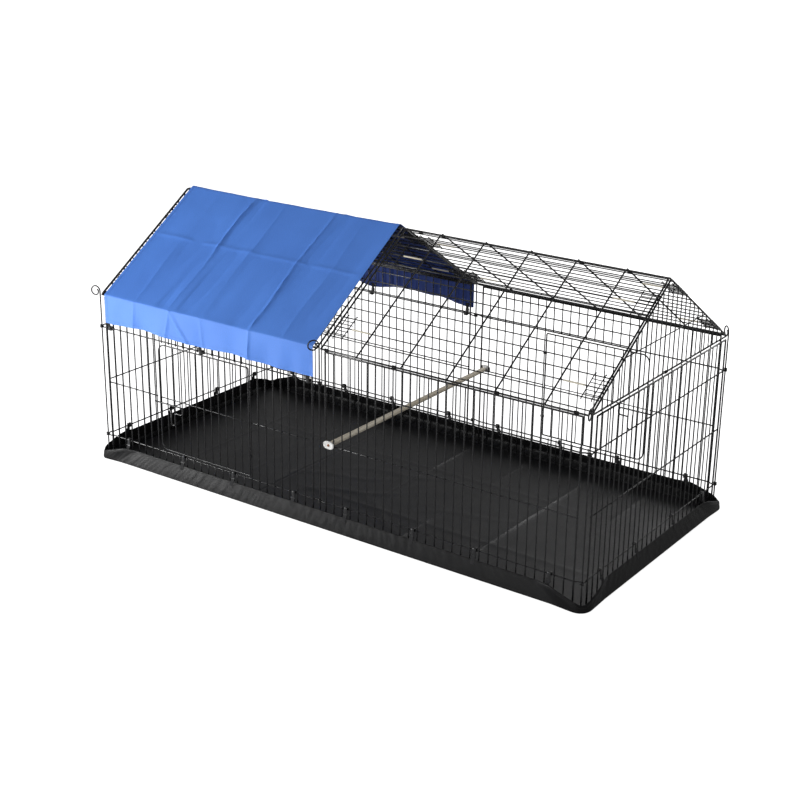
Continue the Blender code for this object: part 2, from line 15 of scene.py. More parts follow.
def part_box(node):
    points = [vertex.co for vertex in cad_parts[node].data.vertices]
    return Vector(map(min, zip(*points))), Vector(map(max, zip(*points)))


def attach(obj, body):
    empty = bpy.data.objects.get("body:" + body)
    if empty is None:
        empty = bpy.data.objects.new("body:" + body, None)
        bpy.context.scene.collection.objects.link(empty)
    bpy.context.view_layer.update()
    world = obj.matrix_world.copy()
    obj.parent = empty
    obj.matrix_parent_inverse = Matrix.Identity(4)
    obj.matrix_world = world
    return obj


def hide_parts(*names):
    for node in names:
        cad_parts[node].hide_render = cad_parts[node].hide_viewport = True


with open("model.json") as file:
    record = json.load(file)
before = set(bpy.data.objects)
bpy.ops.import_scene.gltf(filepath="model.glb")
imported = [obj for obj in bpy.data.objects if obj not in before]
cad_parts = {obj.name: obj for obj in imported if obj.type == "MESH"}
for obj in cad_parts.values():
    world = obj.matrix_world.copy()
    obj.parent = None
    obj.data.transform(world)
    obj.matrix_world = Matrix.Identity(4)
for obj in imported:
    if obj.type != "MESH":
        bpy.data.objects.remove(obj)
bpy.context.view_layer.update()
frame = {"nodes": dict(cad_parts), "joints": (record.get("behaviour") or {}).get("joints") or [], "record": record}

RECORD = frame["record"]
BODY_OF = {node: body for body, nodes in RECORD["behaviour"]["bodies"].items() for node in nodes}
JOINTS = {joint["name"]: joint for joint in frame["joints"]}

# Places read from the frame
WALL_LOW, WALL_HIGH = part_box("wall_front_left")
TOP_WIRE_HALF = 0.0028
EAVE_Z = WALL_HIGH.z - TOP_WIRE_HALF
HALF_WIDTH = -(WALL_LOW.y + WALL_HIGH.y) / 2
LONG_MIDDLE = -(WALL_LOW.x + WALL_HIGH.x) / 2
PANEL_SPAN = 2 * LONG_MIDDLE
HALF_LENGTH = PANEL_SPAN
LEG_Z = WALL_LOW.z
ROOF_HINGE = Vector(JOINTS["roof_front_right_hinge"]["pos_m"])
ROOF_EAVE_Z = ROOF_HINGE.z
ROOF_MIDDLE = ROOF_HINGE.x

# Wire radii
THIN = 0.0022
WIRE = 0.0024
RAIL = 0.0027
STOUT = 0.0030
FRAME = 0.0034
STAKE = 0.0027

# Domed wire ends, as shares of the wire's radius
DOME_RISE = 0.35
DOME_SIZE = 0.7

# Wall panels
POST_GAP = 0.030
SIDE_WIRES = 29
END_WIRES = 28
RAIL_BOTTOM = 0.105
RAIL_MID = 0.335
RAIL_UPPER = 0.565
UPRIGHT_OUT = 0.0037
LOOP_STEP = 0.0035
LOOP_RADIUS = 0.0057
DOOR_HINGE_WIRE = 20
DOOR_LATCH_WIRE = 7

# Doors
DOOR_NEAR = 0.008
DOOR_FAR = 0.463
DOOR_LOW = 0.119
DOOR_HIGH = 0.553
DOOR_CORNER = 0.030
DOOR_BAYS = 12
DOOR_HINGE_HEIGHTS = (0.200, 0.470)
BOLT_Z = 0.315
BOLT_OUT = 0.0085
BOLT_TIP = 0.489
BOLT_BEND = 0.357
BOLT_RETURN = 0.015
HANDLE_X = 0.385
HANDLE_LOW = 0.243
HANDLE_RADIUS = 0.010

# Roof panels and gables
RIDGE_GAP = 0.0040
RIDGE_Z = 1.030
ROOF_HALF = 0.5395
ROOF_RUN = HALF_WIDTH - RIDGE_GAP
ROOF_RISE = RIDGE_Z - ROOF_EAVE_Z
ROOF_SLOPE = math.atan2(ROOF_RISE, ROOF_RUN)
ROOF_LENGTH = math.hypot(ROOF_RISE, ROOF_RUN)
RAFTER_PITCH = 0.190
RAFTERS = 5
RAFTER_OUT = 0.0044
ROW_FIRST = 0.018
ROW_PITCH = 0.0466
ROWS = 13
LADDER_ROWS = (2, 10)
LADDER_BARS = (0.018, 0.056)
LADDER_HALF = 0.053
LADDER_RUNG_PITCH = 0.0155
LADDER_RUNGS = 7
RUNG = 0.0017
BAR = 0.0019
RING_WIRE = 0.0011
RING_STEPS = 10
SLEEVE_FROM = 0.068
SLEEVE_LENGTH = 0.080
EAVE_CLIPS = (-0.515, -0.220, 0.195, 0.495)
RIDGE_CLIPS = (-0.470, -0.370, 0.207, 0.393)
GABLE_DROP = 0.003
GABLE_MID_Z = 0.830
GABLE_X = ROOF_MIDDLE + ROOF_HALF + 2 * FRAME + 0.0005

# Stakes
STAKE_TOP = 0.708
CURL_RADIUS = 0.020
CURL_TIP = 0.010
CURL_TURN = 400
CURL_ANGLE = {
    "front_left": 190.0, "front_mid": 225.0, "front_right": 282.0,
    "back_left": 145.0, "back_mid": 135.0, "back_right": 135.0,
}
SIDE_ANGLE = {"front": 0.0, "right": 90.0, "back": 180.0, "left": 270.0}

# Roof cover
COVER_LOW, COVER_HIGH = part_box("shade_cover")
COVER_LEFT = 0.0240 - ROOF_MIDDLE - ROOF_HALF
COVER_RIGHT = COVER_HIGH.x
COVER_CLEAR = 0.0120
COVER_LEAST = RAFTER_OUT + STOUT + 0.0014 - COVER_CLEAR
COVER_HALF_THICK = 0.0004
HEM_WIDTH = 0.014
HEM_EXTRA = 0.0005
COVER_STEP = 0.0065
COVER_FINE_STEP = 0.0042

# Tray
TRAY_OUT = 0.0320
TRAY_LIP = 0.0122
TRAY_RIM = 0.073
TRAY_FOLD_Z = 0.014
TRAY_CORNER_RIM = 0.031
TRAY_CORNER = 0.120
TRAY_CORNER_LIP = 0.0270
TRAY_CORNER_ROUND = 0.052
TRAY_TOP_Z = 0.0034
TRAY_THICK = 0.0012
TRAY_FOOT = 0.0065
SHEET_REACH = TRAY_FOOT + 0.0905
SHEET_WALL_ROWS = 14


# Meshes

class Shape:
    """Vertices, faces, texture positions in metres and material numbers of one mesh."""

    def __init__(self):
        self.verts = []
        self.faces = []
        self.flat = {}
        self.marks = []

    def add(self, verts, faces, mark=0):
        start = len(self.verts)
        self.verts += [Vector(vert) for vert in verts]
        self.faces += [tuple(start + i for i in face) for face in faces]
        self.marks += [mark] * len(faces)
        return start

    def transformed(self, matrix):
        self.verts = [matrix @ vert for vert in self.verts]
        return self


def tube(shape, points, radius, sides=8, closed=False, mark=0):
    """Round wire along a run of points; open ends are slightly domed."""
    path = [Vector(point) for point in points]
    count = len(path)
    if closed:
        ways = [(path[(i + 1) % count] - path[i - 1]).normalized() for i in range(count)]
        turns = [(path[i] - path[i - 1]).cross(path[(i + 1) % count] - path[i]) for i in range(count)]
        side = max(turns, key=lambda turned: turned.length).normalized()
    else:
        ways = [(path[min(i + 1, count - 1)] - path[max(i - 1, 0)]).normalized() for i in range(count)]
        side = ways[0].orthogonal().normalized()
    rings = []
    for place, way in zip(path, ways):
        side = (side - side.dot(way) * way).normalized()
        rings.append((place, side, way.cross(side), radius))
    if not closed:
        first, last = rings[0], rings[-1]
        tip = radius * DOME_SIZE
        rings.insert(0, (first[0] - ways[0] * radius * DOME_RISE, first[1], first[2], tip))
        rings.append((last[0] + ways[-1] * radius * DOME_RISE, last[1], last[2], tip))
    verts = []
    for place, across, up, size in rings:
        for k in range(sides):
            angle = 2 * math.pi * k / sides
            verts.append(place + size * (math.cos(angle) * across + math.sin(angle) * up))
    shape.add(verts, ring_faces(len(rings), sides, closed), mark)


def smooth(value, low, high):
    """0 below low, 1 above high, and an even S between them."""
    part = min(1.0, max(0.0, (value - low) / (high - low)))
    return part * part * (3 - 2 * part)


def waver(x, y, z):
    """Smooth noise between about -1 and 1 at a place."""
    return noise.noise(Vector((x, y, z)))


def flipped(faces):
    return [face[:1] + face[:0:-1] for face in faces]


def ring_faces(count, sides, closed=False):
    """Quads between rings of vertices laid one after another, with flat ends unless they close up."""
    faces = []
    for i in range(count if closed else count - 1):
        near = i * sides
        far = (i + 1) % count * sides
        for k in range(sides):
            j = (k + 1) % sides
            faces.append((near + k, near + j, far + j, far + k))
    if not closed:
        faces.append(tuple(range(sides))[::-1])
        faces.append(tuple(range((count - 1) * sides, count * sides)))
    return faces


def grid_faces(wide, tall, start=0):
    """Quads of a sheet whose vertices are laid row by row."""
    corners = [start + j * wide + i for j in range(tall - 1) for i in range(wide - 1)]
    return [(a, a + 1, a + wide + 1, a + wide) for a in corners]


def grid_border(wide, tall):
    """Vertices round the edge of the same sheet, in order."""
    border = list(range(wide))
    border += [j * wide + wide - 1 for j in range(1, tall)]
    border += [(tall - 1) * wide + i for i in range(wide - 2, -1, -1)]
    border += [j * wide for j in range(tall - 2, 0, -1)]
    return border


def fillet(path, radii, steps):
    """Rounds the inner corners of a run of (y, z) points."""
    made = [Vector(path[0])]
    for i in range(1, len(path) - 1):
        corner = Vector(path[i])
        back = (Vector(path[i - 1]) - corner).normalized()
        ahead = (Vector(path[i + 1]) - corner).normalized()
        reach = radii[i - 1] / math.tan(back.angle(ahead) / 2)
        start = corner + back * reach
        end = corner + ahead * reach
        for k in range(steps + 1):
            t = k / steps
            made.append((1 - t) ** 2 * start + 2 * t * (1 - t) * corner + t * t * end)
    made.append(Vector(path[-1]))
    return made


def arc(centre, radius, start, end, steps):
    """Points (x, z) round an arc, angles in degrees."""
    points = []
    for i in range(steps + 1):
        angle = math.radians(start + (end - start) * i / steps)
        points.append((centre[0] + radius * math.cos(angle), centre[1] + radius * math.sin(angle)))
    return points


def upright_points(x, out, low, high, rng, bow=0.0007):
    """Points up a wire that is very slightly bowed between its welds."""
    lean = rng.uniform(-bow, bow)
    heights = [low + (high - low) * k / 4 for k in range(5)]
    return [(x + lean * math.sin(math.pi * k / 4), -out, z) for k, z in enumerate(heights)]


def level_points(x0, x1, out, z, rng, bow=0.0006):
    sag = rng.uniform(-bow, bow)
    return [(x0 + (x1 - x0) * k / 4, -out, z + sag * math.sin(math.pi * k / 4)) for k in range(5)]


def ring_level(shape, x, out, z, radius, wire):
    """Small closed ring of wire lying level."""
    points = []
    for k in range(RING_STEPS):
        angle = 2 * math.pi * k / RING_STEPS
        points.append((x + radius * math.cos(angle), -out + radius * math.sin(angle), z))
    tube(shape, points, wire, 6, closed=True)


def make_mesh(name, shape, materials, sharp=50.0):
    mesh = bpy.data.meshes.new(name)
    mesh.from_pydata(shape.verts, [], shape.faces)
    for material in materials:
        mesh.materials.append(material)
    mesh.polygons.foreach_set("material_index", shape.marks)
    if shape.flat:
        layer = mesh.uv_layers.new(name="metres")
        for loop in mesh.loops:
            layer.data[loop.index].uv = shape.flat.get(loop.vertex_index, (0.0, 0.0))
    mesh.shade_smooth()
    mesh.set_sharp_from_angle(angle=math.radians(sharp))
    mesh.validate()
    mesh.update()
    return mesh


def add_object(name, data):
    made = bpy.data.objects.new(name, data)
    bpy.context.scene.collection.objects.link(made)
    return made


def make_piece(name, shape, materials, node, stands=True, sharp=50.0):
    """Piece that rides with a CAD node and, if it stands for it, hides it."""
    made = add_object(name, make_mesh(name, shape, materials, sharp))
    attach(made, BODY_OF[node])
    if stands:
        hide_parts(node)
    return made


# Materials

GRAIN = 700.0


def new_material(name, colour, roughness, metallic=0.0, specular=0.5):
    material = bpy.data.materials.new(name)
    material.use_nodes = True
    tree = material.node_tree
    shader = tree.nodes["Principled BSDF"]
    shader.inputs["Base Color"].default_value = (*colour, 1.0)
    shader.inputs["Roughness"].default_value = roughness
    shader.inputs["Metallic"].default_value = metallic
    shader.inputs["Specular IOR Level"].default_value = specular
    return material, tree, shader


def feed(tree, value, shader, socket):
    tree.links.new(value, shader.inputs[socket])


def position(tree, output="Object", stretch=(1.0, 1.0, 1.0)):
    source = tree.nodes.new("ShaderNodeTexCoord")
    mapping = tree.nodes.new("ShaderNodeMapping")
    mapping.inputs["Scale"].default_value = stretch
    tree.links.new(source.outputs[output], mapping.inputs["Vector"])
    return mapping.outputs["Vector"]


def noise_value(tree, where, scale, detail=3.0, rough=0.55):
    made = tree.nodes.new("ShaderNodeTexNoise")
    made.inputs["Scale"].default_value = scale
    made.inputs["Detail"].default_value = detail
    made.inputs["Roughness"].default_value = rough
    tree.links.new(where, made.inputs["Vector"])
    return made.outputs["Fac"]


def spread(tree, value, low, high, from_low=0.3, from_high=0.7):
    """Maps a noise value onto low to high."""
    made = tree.nodes.new("ShaderNodeMapRange")
    numbers = {"From Min": from_low, "From Max": from_high, "To Min": low, "To Max": high}
    for key, number in numbers.items():
        made.inputs[key].default_value = number
    tree.links.new(value, made.inputs["Value"])
    return made.outputs["Result"]


def blend_colours(tree, factor, first, second):
    made = tree.nodes.new("ShaderNodeMix")
    made.data_type = "RGBA"
    for key, colour in (("A", first), ("B", second)):
        socket = next(s for s in made.inputs if s.name == key and s.type == "RGBA")
        if isinstance(colour, tuple):
            socket.default_value = (*colour, 1.0)
        else:
            tree.links.new(colour, socket)
    factor_in = next(s for s in made.inputs if s.name == "Factor" and s.type == "VALUE")
    tree.links.new(factor, factor_in)
    return next(s for s in made.outputs if s.type == "RGBA")


def maths(tree, operation, first, second=None):
    made = tree.nodes.new("ShaderNodeMath")
    made.operation = operation
    for socket, value in zip(made.inputs, (first, second)):
        if value is None:
            continue
        if isinstance(value, (int, float)):
            socket.default_value = value
        else:
            tree.links.new(value, socket)
    return made.outputs["Value"]


def bump(tree, shader, height, distance, strength=1.0, before=None):
    made = tree.nodes.new("ShaderNodeBump")
    made.inputs["Distance"].default_value = distance
    made.inputs["Strength"].default_value = strength
    tree.links.new(height, made.inputs["Height"])
    if before is not None:
        tree.links.new(before, made.inputs["Normal"])
    feed(tree, made.outputs["Normal"], shader, "Normal")
    return made.outputs["Normal"]


def weave(tree, pitch):
    """Height of a plain weave, from texture positions in metres."""
    split = tree.nodes.new("ShaderNodeSeparateXYZ")
    tree.links.new(position(tree, "UV"), split.inputs["Vector"])
    wave = 2 * math.pi / pitch
    warp = maths(tree, "SINE", maths(tree, "MULTIPLY", split.outputs["X"], wave))
    weft = maths(tree, "SINE", maths(tree, "MULTIPLY", split.outputs["Y"], wave))
    return maths(tree, "MULTIPLY", warp, weft)


def coated_wire():
    """Satin black powder coat with orange peel and a few rubbed spots."""
    material, tree, shader = new_material("coated_wire", (0.010, 0.010, 0.011), 0.26, specular=0.5)
    where = position(tree)
    rubbed = spread(tree, noise_value(tree, where, 60.0, 5.0, 0.7), 0.0, 1.0, 0.72, 0.80)
    patchy = noise_value(tree, where, 9.0)
    tone = blend_colours(tree, patchy, (0.006, 0.006, 0.007), (0.012, 0.012, 0.013))
    colour = blend_colours(tree, rubbed, tone, (0.10, 0.095, 0.09))
    feed(tree, colour, shader, "Base Color")
    feed(tree, spread(tree, noise_value(tree, where, 240.0), 0.20, 0.32), shader, "Roughness")
    bump(tree, shader, noise_value(tree, where, 900.0, 2.0), 0.00015, 0.6)
    return material


def cover_cloth(name, dark, light, roughness, sheen):
    material, tree, shader = new_material(name, light, roughness, specular=0.5)
    where = position(tree, "UV")
    broad = noise_value(tree, where, 3.0, 3.0)
    thread = noise_value(tree, position(tree, "UV", (90.0, 1400.0, 1.0)), 1.0, 2.0)
    broad_part = maths(tree, "MULTIPLY", broad, 0.65)
    mixed = maths(tree, "ADD", broad_part, maths(tree, "MULTIPLY", thread, 0.35))
    tone = blend_colours(tree, spread(tree, mixed, 0.0, 1.0), dark, light)
    slub = spread(tree, noise_value(tree, position(tree, "UV", (1.0, 1.6, 1.0)), 260.0, 2.0), 0.90, 1.08)
    grained = tree.nodes.new("ShaderNodeVectorMath")
    grained.operation = "SCALE"
    tree.links.new(tone, grained.inputs[0])
    tree.links.new(slub, grained.inputs["Scale"])
    feed(tree, grained.outputs["Vector"], shader, "Base Color")
    shader.inputs["Sheen Weight"].default_value = sheen
    shader.inputs["Sheen Roughness"].default_value = 0.5
    shader.inputs["Sheen Tint"].default_value = (*light, 1.0)
    feed(tree, spread(tree, thread, roughness - 0.07, roughness + 0.07), shader, "Roughness")
    soft = bump(tree, shader, noise_value(tree, where, 34.0, 4.0), 0.0012, 0.35)
    bump(tree, shader, weave(tree, 0.0009), 0.00012, 0.5, before=soft)
    return material


def tray_cloth(name, dark, light, specular):
    """Black coated polyester: dull sheen, fine weave, small handling wrinkles."""
    material, tree, shader = new_material(name, light, 0.34, specular=specular)
    where = position(tree, "UV")
    tone = blend_colours(tree, spread(tree, noise_value(tree, where, 2.6, 4.0), 0.0, 1.0), dark, light)
    dust = spread(tree, noise_value(tree, where, 160.0, 6.0, 0.75), 0.0, 0.6, 0.66, 0.78)
    feed(tree, blend_colours(tree, dust, tone, (0.034, 0.034, 0.033)), shader, "Base Color")
    feed(tree, spread(tree, noise_value(tree, where, 7.0, 5.0), 0.36, 0.46), shader, "Roughness")
    creased = noise_value(tree, position(tree, "UV", (1.0, 1.8, 1.0)), 17.0, 6.0, 0.62)
    soft = bump(tree, shader, creased, 0.0020, 0.10)
    bump(tree, shader, weave(tree, 0.0011), 0.00012, 0.5, before=soft)
    return material


def webbing():
    material, tree, shader = new_material("webbing", (0.014, 0.014, 0.015), 0.75, specular=0.3)
    where = position(tree)
    rib = tree.nodes.new("ShaderNodeTexWave")
    rib.bands_direction = "Z"
    rib.inputs["Scale"].default_value = 260.0
    tree.links.new(where, rib.inputs["Vector"])
    bump(tree, shader, rib.outputs["Fac"], 0.0003, 0.8)
    fibre = noise_value(tree, where, 300.0)
    tone = blend_colours(tree, fibre, (0.010, 0.010, 0.011), (0.026, 0.026, 0.028))
    feed(tree, tone, shader, "Base Color")
    return material


def moulded(name, dark, light, roughness):
    """Moulded plastic with a faint surface grain."""
    material, tree, shader = new_material(name, light, roughness)
    where = position(tree)
    tone = blend_colours(tree, noise_value(tree, where, 45.0, 4.0), dark, light)
    feed(tree, tone, shader, "Base Color")
    worn = spread(tree, noise_value(tree, where, GRAIN / 3), roughness - 0.08, roughness + 0.10)
    feed(tree, worn, shader, "Roughness")
    bump(tree, shader, noise_value(tree, where, GRAIN, 2.0), 0.0002, 0.35)
    return material


def turned_wood():
    """Pale turned dowel with long grain, pores and a few darker streaks."""
    material, tree, shader = new_material("perch_wood", (0.60, 0.50, 0.35), 0.62, specular=0.3)
    along = position(tree, "Object", (60.0, 2.2, 60.0))
    fine = position(tree, "Object", (420.0, 7.0, 420.0))
    streak = noise_value(tree, along, 1.0, 5.0, 0.6)
    tone = blend_colours(tree, spread(tree, streak, 0.0, 1.0), (0.62, 0.54, 0.41), (0.88, 0.82, 0.69))
    pores = spread(tree, noise_value(tree, fine, 1.0, 3.0), 0.0, 0.7, 0.60, 0.72)
    feed(tree, blend_colours(tree, pores, tone, (0.42, 0.33, 0.21)), shader, "Base Color")
    feed(tree, spread(tree, streak, 0.50, 0.75), shader, "Roughness")
    bump(tree, shader, noise_value(tree, fine, 1.0, 3.0), 0.0003, 0.6)
    return material


def plated_screw():
    material, tree, shader = new_material("screw_steel", (0.33, 0.13, 0.07), 0.4, metallic=0.8)
    where = position(tree)
    worn = spread(tree, noise_value(tree, where, 500.0, 4.0), 0.0, 1.0)
    tone = blend_colours(tree, worn, (0.20, 0.07, 0.035), (0.46, 0.22, 0.12))
    feed(tree, tone, shader, "Base Color")
    feed(tree, spread(tree, noise_value(tree, where, 900.0), 0.28, 0.55), shader, "Roughness")
    bump(tree, shader, noise_value(tree, where, 1500.0, 2.0), 0.0001, 0.5)
    return material


COAT = coated_wire()
COVER_TOP = cover_cloth("cover_fabric", (0.070, 0.222, 0.735), (0.092, 0.275, 0.860), 0.60, 0.14)
# The inner face's blue is far darker than the outer face's. This is partly the cloth's coated back and partly
# painted shade under the roof.
COVER_UNDERSIDE_TONE_AND_SHADE = cover_cloth("cover_underside_tone_and_painted_shade", (0.005, 0.028, 0.185), (0.008, 0.038, 0.240), 0.70, 0.05)
COVER_THREAD = moulded("cover_thread", (0.05, 0.14, 0.48), (0.10, 0.25, 0.70), 0.6)
TRAY_CLOTH = tray_cloth("tray_fabric", (0.008, 0.008, 0.009), (0.014, 0.014, 0.015), 0.5)
TRAY_WALL = tray_cloth("tray_wall_fabric", (0.004, 0.004, 0.0045), (0.007, 0.007, 0.0075), 0.16)
TRAY_THREAD = moulded("tray_thread", (0.03, 0.03, 0.03), (0.06, 0.06, 0.06), 0.6)
WEBBING = webbing()
HOOK_PLASTIC = moulded("hook_plastic", (0.008, 0.008, 0.009), (0.018, 0.018, 0.019), 0.38)
SLEEVE_PLASTIC = moulded("sleeve_plastic", (0.62, 0.56, 0.42), (0.78, 0.73, 0.60), 0.42)
CAP_PLASTIC = moulded("cap_plastic", (0.72, 0.72, 0.70), (0.84, 0.84, 0.82), 0.33)
WOOD = turned_wood()
SCREW = plated_screw()


# Wire walls

def side_matrix(side, x, y, z=0.0):
    return Matrix.Translation((x, y, z)) @ Matrix.Rotation(math.radians(SIDE_ANGLE[side]), 4, "Z")


def wire_position(span, count, index):
    return -span / 2 + POST_GAP + index * (span - 2 * POST_GAP) / (count - 1)


def eye_run(x, side, height):
    """Rail end bent round a stake: from the straight rail to the eye's open end."""
    step = height + side * LOOP_STEP
    run = [(x - side * POST_GAP, 0.0, height), (x - side * 0.016, 0.0, step),
           (x - side * (LOOP_RADIUS + 0.003), 0.0002, step)]
    for k in range(15):
        turned = math.radians(18 + 22 * k)
        run.append((x - side * LOOP_RADIUS * math.cos(turned), LOOP_RADIUS * math.sin(turned), step))
    return run


def looped_rail(shape, span, height, rng):
    left = eye_run(-span / 2, -1, height)
    right = eye_run(span / 2, 1, height)
    middle = level_points(-span / 2 + 0.05, span / 2 - 0.05, 0.0, height, rng)
    tube(shape, left[::-1] + middle + right, RAIL)


def wall_panel(span, count, doorway, seed):
    """Uprights, three rails, top wire, and eyes round the stakes."""
    rng = random.Random(seed)
    shape = Shape()
    for index in range(count):
        x = wire_position(span, count, index)
        at_end = index in (0, count - 1)
        radius = FRAME if at_end else WIRE
        if doorway and DOOR_LATCH_WIRE < index < DOOR_HINGE_WIRE:
            tube(shape, upright_points(x, UPRIGHT_OUT, LEG_Z, RAIL_BOTTOM + 0.003, rng, 0.0003), radius)
            tube(shape, upright_points(x, UPRIGHT_OUT, RAIL_UPPER - 0.003, EAVE_Z, rng, 0.0003), radius)
        else:
            tube(shape, upright_points(x, UPRIGHT_OUT, LEG_Z, EAVE_Z, rng), radius)
    first = wire_position(span, count, 0)
    last = wire_position(span, count, count - 1)
    tube(shape, level_points(first - 0.001, last + 0.001, UPRIGHT_OUT - 0.0002, EAVE_Z, rng), FRAME, 10)
    looped_rail(shape, span, RAIL_BOTTOM, rng)
    looped_rail(shape, span, RAIL_UPPER, rng)
    if doorway:
        jambs = [wire_position(span, count, index) for index in (DOOR_LATCH_WIRE, DOOR_HINGE_WIRE)]
        tube(shape, level_points(first, jambs[0] + 0.002, 0.0, RAIL_MID, rng), RAIL)
        tube(shape, level_points(jambs[1] - 0.002, last, 0.0, RAIL_MID, rng), RAIL)
    else:
        tube(shape, level_points(first, last, 0.0, RAIL_MID, rng), RAIL)
    return shape


def make_walls():
    for k, (node, side, doorway) in enumerate((
            ("wall_front_left", "front", True), ("wall_front_right", "front", False),
            ("wall_back_left", "back", False), ("wall_back_right", "back", True),
            ("wall_end_left", "left", False), ("wall_end_right", "right", False))):
        low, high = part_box(node)
        middle = (low + high) / 2
        if side in ("front", "back"):
            shape = wall_panel(PANEL_SPAN, SIDE_WIRES, doorway, 100 + k)
        else:
            shape = wall_panel(2 * HALF_WIDTH, END_WIRES, doorway, 100 + k)
        shape.transformed(side_matrix(side, middle.x, middle.y))
        make_piece(node + "_wires", shape, [COAT], node)


# Doors and bolts

def door_upright(bay):
    return -DOOR_FAR + bay * (DOOR_FAR - DOOR_NEAR) / DOOR_BAYS


def stadium(near, far, radius, steps=7):
    """Closed run (x, y) round two centres on the X axis."""
    points = []
    for centre, start in ((near, -90.0), (far, 90.0)):
        for k in range(steps):
            angle = math.radians(start + 180.0 * k / (steps - 1))
            points.append((centre + radius * math.cos(angle), radius * math.sin(angle)))
    return points


def door_leaf(seed):
    rng = random.Random(seed)
    shape = Shape()
    corner = DOOR_CORNER
    small = 0.006
    outline = arc((-DOOR_NEAR - small, DOOR_LOW + small), small, 0, -90, 4)
    outline += arc((-DOOR_FAR + corner, DOOR_LOW + corner), corner, 270, 180, 8)
    outline += arc((-DOOR_FAR + corner, DOOR_HIGH - corner), corner, 180, 90, 8)
    outline += arc((-DOOR_NEAR - small, DOOR_HIGH - small), small, 90, 0, 4)
    tube(shape, [(x, -UPRIGHT_OUT, z) for x, z in outline], STOUT, closed=True)
    for bay in range(1, DOOR_BAYS):
        x = door_upright(bay)
        tube(shape, upright_points(x, UPRIGHT_OUT, DOOR_LOW, DOOR_HIGH, rng, 0.0004), THIN)
    tube(shape, level_points(-DOOR_FAR, -DOOR_NEAR, UPRIGHT_OUT - 0.0028, RAIL_MID, rng), THIN)
    for height in DOOR_HINGE_HEIGHTS:
        for turn in range(3):
            z = height + (turn - 1) * 0.0026
            loop = [(x, y - UPRIGHT_OUT, z) for x, y in stadium(0.0, -DOOR_NEAR, 0.0036)]
            tube(shape, loop, 0.0012, 6, closed=True)
    for bay in (1, 2):
        x = door_upright(bay)
        loop = [(x, y - BOLT_OUT + 0.0018, z + BOLT_Z) for z, y in stadium(-0.0012, 0.0012, 0.0044)]
        tube(shape, loop, 0.0012, 6, closed=True)
    return shape


def bolt_wire():
    """Sliding bolt with its hairpin bend and finger loop, bent from one wire."""
    line = [(-BOLT_TIP, BOLT_Z), (-BOLT_TIP + 0.06, BOLT_Z), (-BOLT_BEND, BOLT_Z)]
    line += arc((-BOLT_BEND, BOLT_Z - BOLT_RETURN), BOLT_RETURN, 90, -90, 12)[1:]
    turn_z = BOLT_Z - 2 * BOLT_RETURN
    line += arc((-HANDLE_X + 0.004, turn_z - 0.004), 0.004, 90, 180, 4)
    line += arc((-HANDLE_X - HANDLE_RADIUS, HANDLE_LOW), HANDLE_RADIUS, 0, -180, 12)
    line += [(-HANDLE_X - 2 * HANDLE_RADIUS, turn_z + 0.010)]
    shape = Shape()
    tube(shape, [(x, -BOLT_OUT, z) for x, z in line], STOUT, 10)
    return shape


def make_doors():
    for side, sign in (("front", 1.0), ("back", -1.0)):
        hinge = Vector(JOINTS[f"door_{side}_hinge"]["pos_m"])
        matrix = side_matrix(side, hinge.x, -sign * HALF_WIDTH)
        leaf = door_leaf(200 + int(sign)).transformed(matrix)
        make_piece(f"door_{side}_wires", leaf, [COAT], f"door_{side}")
        bolt = bolt_wire().transformed(matrix)
        make_piece(f"door_bolt_{side}_wire", bolt, [COAT], f"door_bolt_{side}")


# Roof panels and gables

def coil(shape, x, out, z, radius, wire, length, turns):
    """Clip wound round a wire that runs along X."""
    steps = turns * 10
    points = []
    for k in range(steps + 1):
        angle = 2 * math.pi * k / 10
        points.append((x - length / 2 + length * k / steps, -out + radius * math.cos(angle),
                       z + radius * math.sin(angle)))
    tube(shape, points, wire, 6)


def hooked_bar(shape, x, low, high):
    """Short bar over the rows whose ends are bent down past the rows into small hooks."""
    out = THIN + BAR
    bend = 0.0035
    angles = [math.radians(angle) for angle in range(-120, 1, 24)]
    hook = [(out - bend + bend * math.cos(angle), bend * math.sin(angle)) for angle in angles]
    line = [(away, low + rise) for away, rise in hook] + [(away, high - rise) for away, rise in hook[::-1]]
    tube(shape, [(x, -away, z) for away, z in line], BAR, 7)


def ladder(shape, end, side, middle):
    for inset in LADDER_BARS:
        hooked_bar(shape, end - side * inset, middle - LADDER_HALF, middle + LADDER_HALF)
    inner = end - side * (LADDER_BARS[-1] + 0.004)
    for k in range(LADDER_RUNGS):
        z = middle + (k - (LADDER_RUNGS - 1) / 2) * LADDER_RUNG_PITCH
        if k != (LADDER_RUNGS - 1) // 2:
            tube(shape, [(inner, 0.0, z), (end, 0.0, z)], RUNG, 6)
        ring_level(shape, end, 0.0008, z, FRAME + 0.0010, RING_WIRE)


def roof_panel(ridge_clips, seed):
    """Roof panel drawn flat from its eave wire, which lies on the local X axis."""
    rng = random.Random(seed)
    shape = Shape()
    for x in (-ROOF_HALF, ROOF_HALF):
        tube(shape, upright_points(x, 0.0008, -0.001, ROOF_LENGTH + 0.001, rng, 0.0004), FRAME, 10)
    for k in range(RAFTERS):
        x = (k - (RAFTERS - 1) / 2) * RAFTER_PITCH
        tube(shape, upright_points(x, RAFTER_OUT, -0.002, ROOF_LENGTH + 0.002, rng), STOUT)
    for z in (0.0, ROOF_LENGTH):
        tube(shape, level_points(-ROOF_HALF - 0.001, ROOF_HALF + 0.001, 0.0, z, rng, 0.0), FRAME, 10)
    for k in range(ROWS):
        z = ROW_FIRST + k * ROW_PITCH
        tube(shape, level_points(-ROOF_HALF - 0.001, ROOF_HALF + 0.001, 0.0, z, rng, 0.0009), THIN)
    for side in (-1, 1):
        for row in LADDER_ROWS:
            ladder(shape, side * ROOF_HALF, side, ROW_FIRST + row * ROW_PITCH)
    clips = [(x, 0.0) for x in EAVE_CLIPS]
    if ridge_clips:
        clips += [(x, ROOF_LENGTH) for x in RIDGE_CLIPS]
    for x, z in clips:
        coil(shape, x, 0.0, z, FRAME + 0.0013, 0.0014, 0.017, 5)
    return shape


